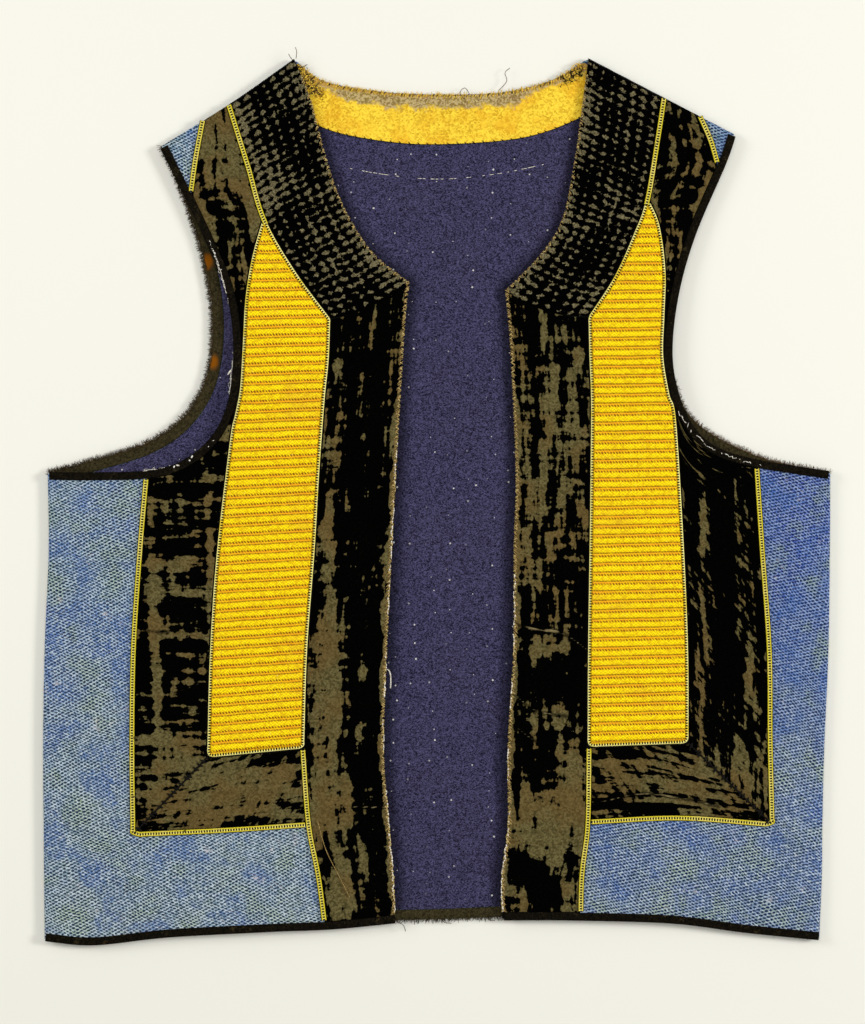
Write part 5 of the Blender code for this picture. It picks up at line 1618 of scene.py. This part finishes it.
sewn("white_fray_right", "white", first, last, velvet_top(first) + 0.6, velvet_top(last) + 0.7,
     0.3, LUCK.uniform(0.1, 0.3, len(first)))
knots = at_shares(run, LUCK.uniform(0.15, 0.95, 26))
sewn("white_fray_knots", "white", knots, knots + LUCK.normal(0, 1.3, knots.shape), 6.8, 6.9, 0.4,
     LUCK.uniform(0.25, 0.6, 26))
THREAD_RADIUS = {"white": 0.5, "tan": 0.3}
LOOSE_THREADS = [
    ("brown", [(37, 510, 3.2), (42, 516, 3.4), (41, 521, 3.2), (44, 524, 3.0)]),
    ("brown", [(20, 508, 3.0), (17, 512, 3.2), (14, 509, 3.2), (17, 505, 3.2)]),
    ("brown", [(-84, 529, 6.6), (-83.6, 533, 6.0), (-84.4, 536, 5.6)]),
    ("brown", [(-86, 528, 6.6), (-88, 531, 6.0), (-88.4, 532, 5.6)]),
    ("white", [(-31.4, 163.5, 6.9), (-29.0, 163.8, 6.6), (-27.6, 161, 6.2), (-27.4, 156, 5.8),
               (-27.6, 152.5, 5.4)]),
    ("black", [(-24, 13, 6.0), (-20, 11, 5.0), (-18.5, 7, 4.0)]),
    ("black", [(-22, 12, 6.0), (-18.5, 14, 5.0)]),
    ("olive", [(3, 14, 2.6), (5, 12, 2.4), (9, 11.6, 2.4)]),
    ("olive", [(30, 15, 2.6), (32, 13.4, 2.4), (35, 13.4, 2.4)]),
    ("black", [(-226, 281, 5.6), (-222, 285, 5.0), (-217, 284, 4.6), (-214, 282, 4.6)]),
    ("tan", [(-71, 73, 7.4), (-66, 56, 7.4), (-58, 40, 7.4), (-52, 28, 7.4)])]
for number, (colour, points) in enumerate(LOOSE_THREADS):
    flat, heights = thread_run(points, 0.8)
    sewn(f"loose_thread_{number + 1}", colour, flat[:-1], flat[1:], heights[:-1], heights[1:], 0.0,
         THREAD_RADIUS.get(colour, 0.24))

# Camera, floor and light
# A plain near white table under a broad soft light, seen straight from above.
camera_data = bpy.data.cameras.new("camera")
camera_data.lens = 100.0
camera_data.sensor_width = 36.0
camera_data.clip_end = 20.0
camera = bpy.data.objects.new("camera", camera_data)
camera.location = (-0.00255, -0.0068, 1.7067)
bpy.context.scene.collection.objects.link(camera)
bpy.context.scene.camera = camera

floor_mesh = bpy.data.meshes.new("floor")
floor_mesh.from_pydata([(-3, -3, -0.0002), (3, -3, -0.0002), (3, 3, -0.0002), (-3, 3, -0.0002)],
                       [], [(0, 1, 2, 3)])
floor = bpy.data.objects.new("floor", floor_mesh)
bpy.context.scene.collection.objects.link(floor)
paper = bpy.data.materials.new("white table")
paper.use_nodes = True
paper_surface = paper.node_tree.nodes["Principled BSDF"]
paper_surface.inputs["Base Color"].default_value = (0.80, 0.785, 0.70, 1)
paper_surface.inputs["Roughness"].default_value = 0.9
floor_mesh.materials.append(paper)

for name, place, size, power in (("left light", (-1.5, 0.5, 1.0), 0.7, 12.0),
                                 ("right light", (2.2, 0.3, 1.4), 0.6, 40.0),
                                 ("overhead light", (0.0, 0.3, 2.0), 1.2, 12.5)):
    lamp = bpy.data.lights.new(name, "AREA")
    lamp.size = size
    lamp.energy = power
    holder = bpy.data.objects.new(name, lamp)
    holder.location = place
    holder.rotation_euler = (math.atan2(math.hypot(*place[:2]), place[2]), 0.0,
                             math.atan2(place[0], -place[1]))
    bpy.context.scene.collection.objects.link(holder)
world = bpy.data.worlds.new("studio")
world.use_nodes = True
world.node_tree.nodes["Background"].inputs[0].default_value = (1, 1, 1, 1)
world.node_tree.nodes["Background"].inputs[1].default_value = 0.4
bpy.context.scene.world = world
bpy.context.scene.view_settings.view_transform = "Standard"
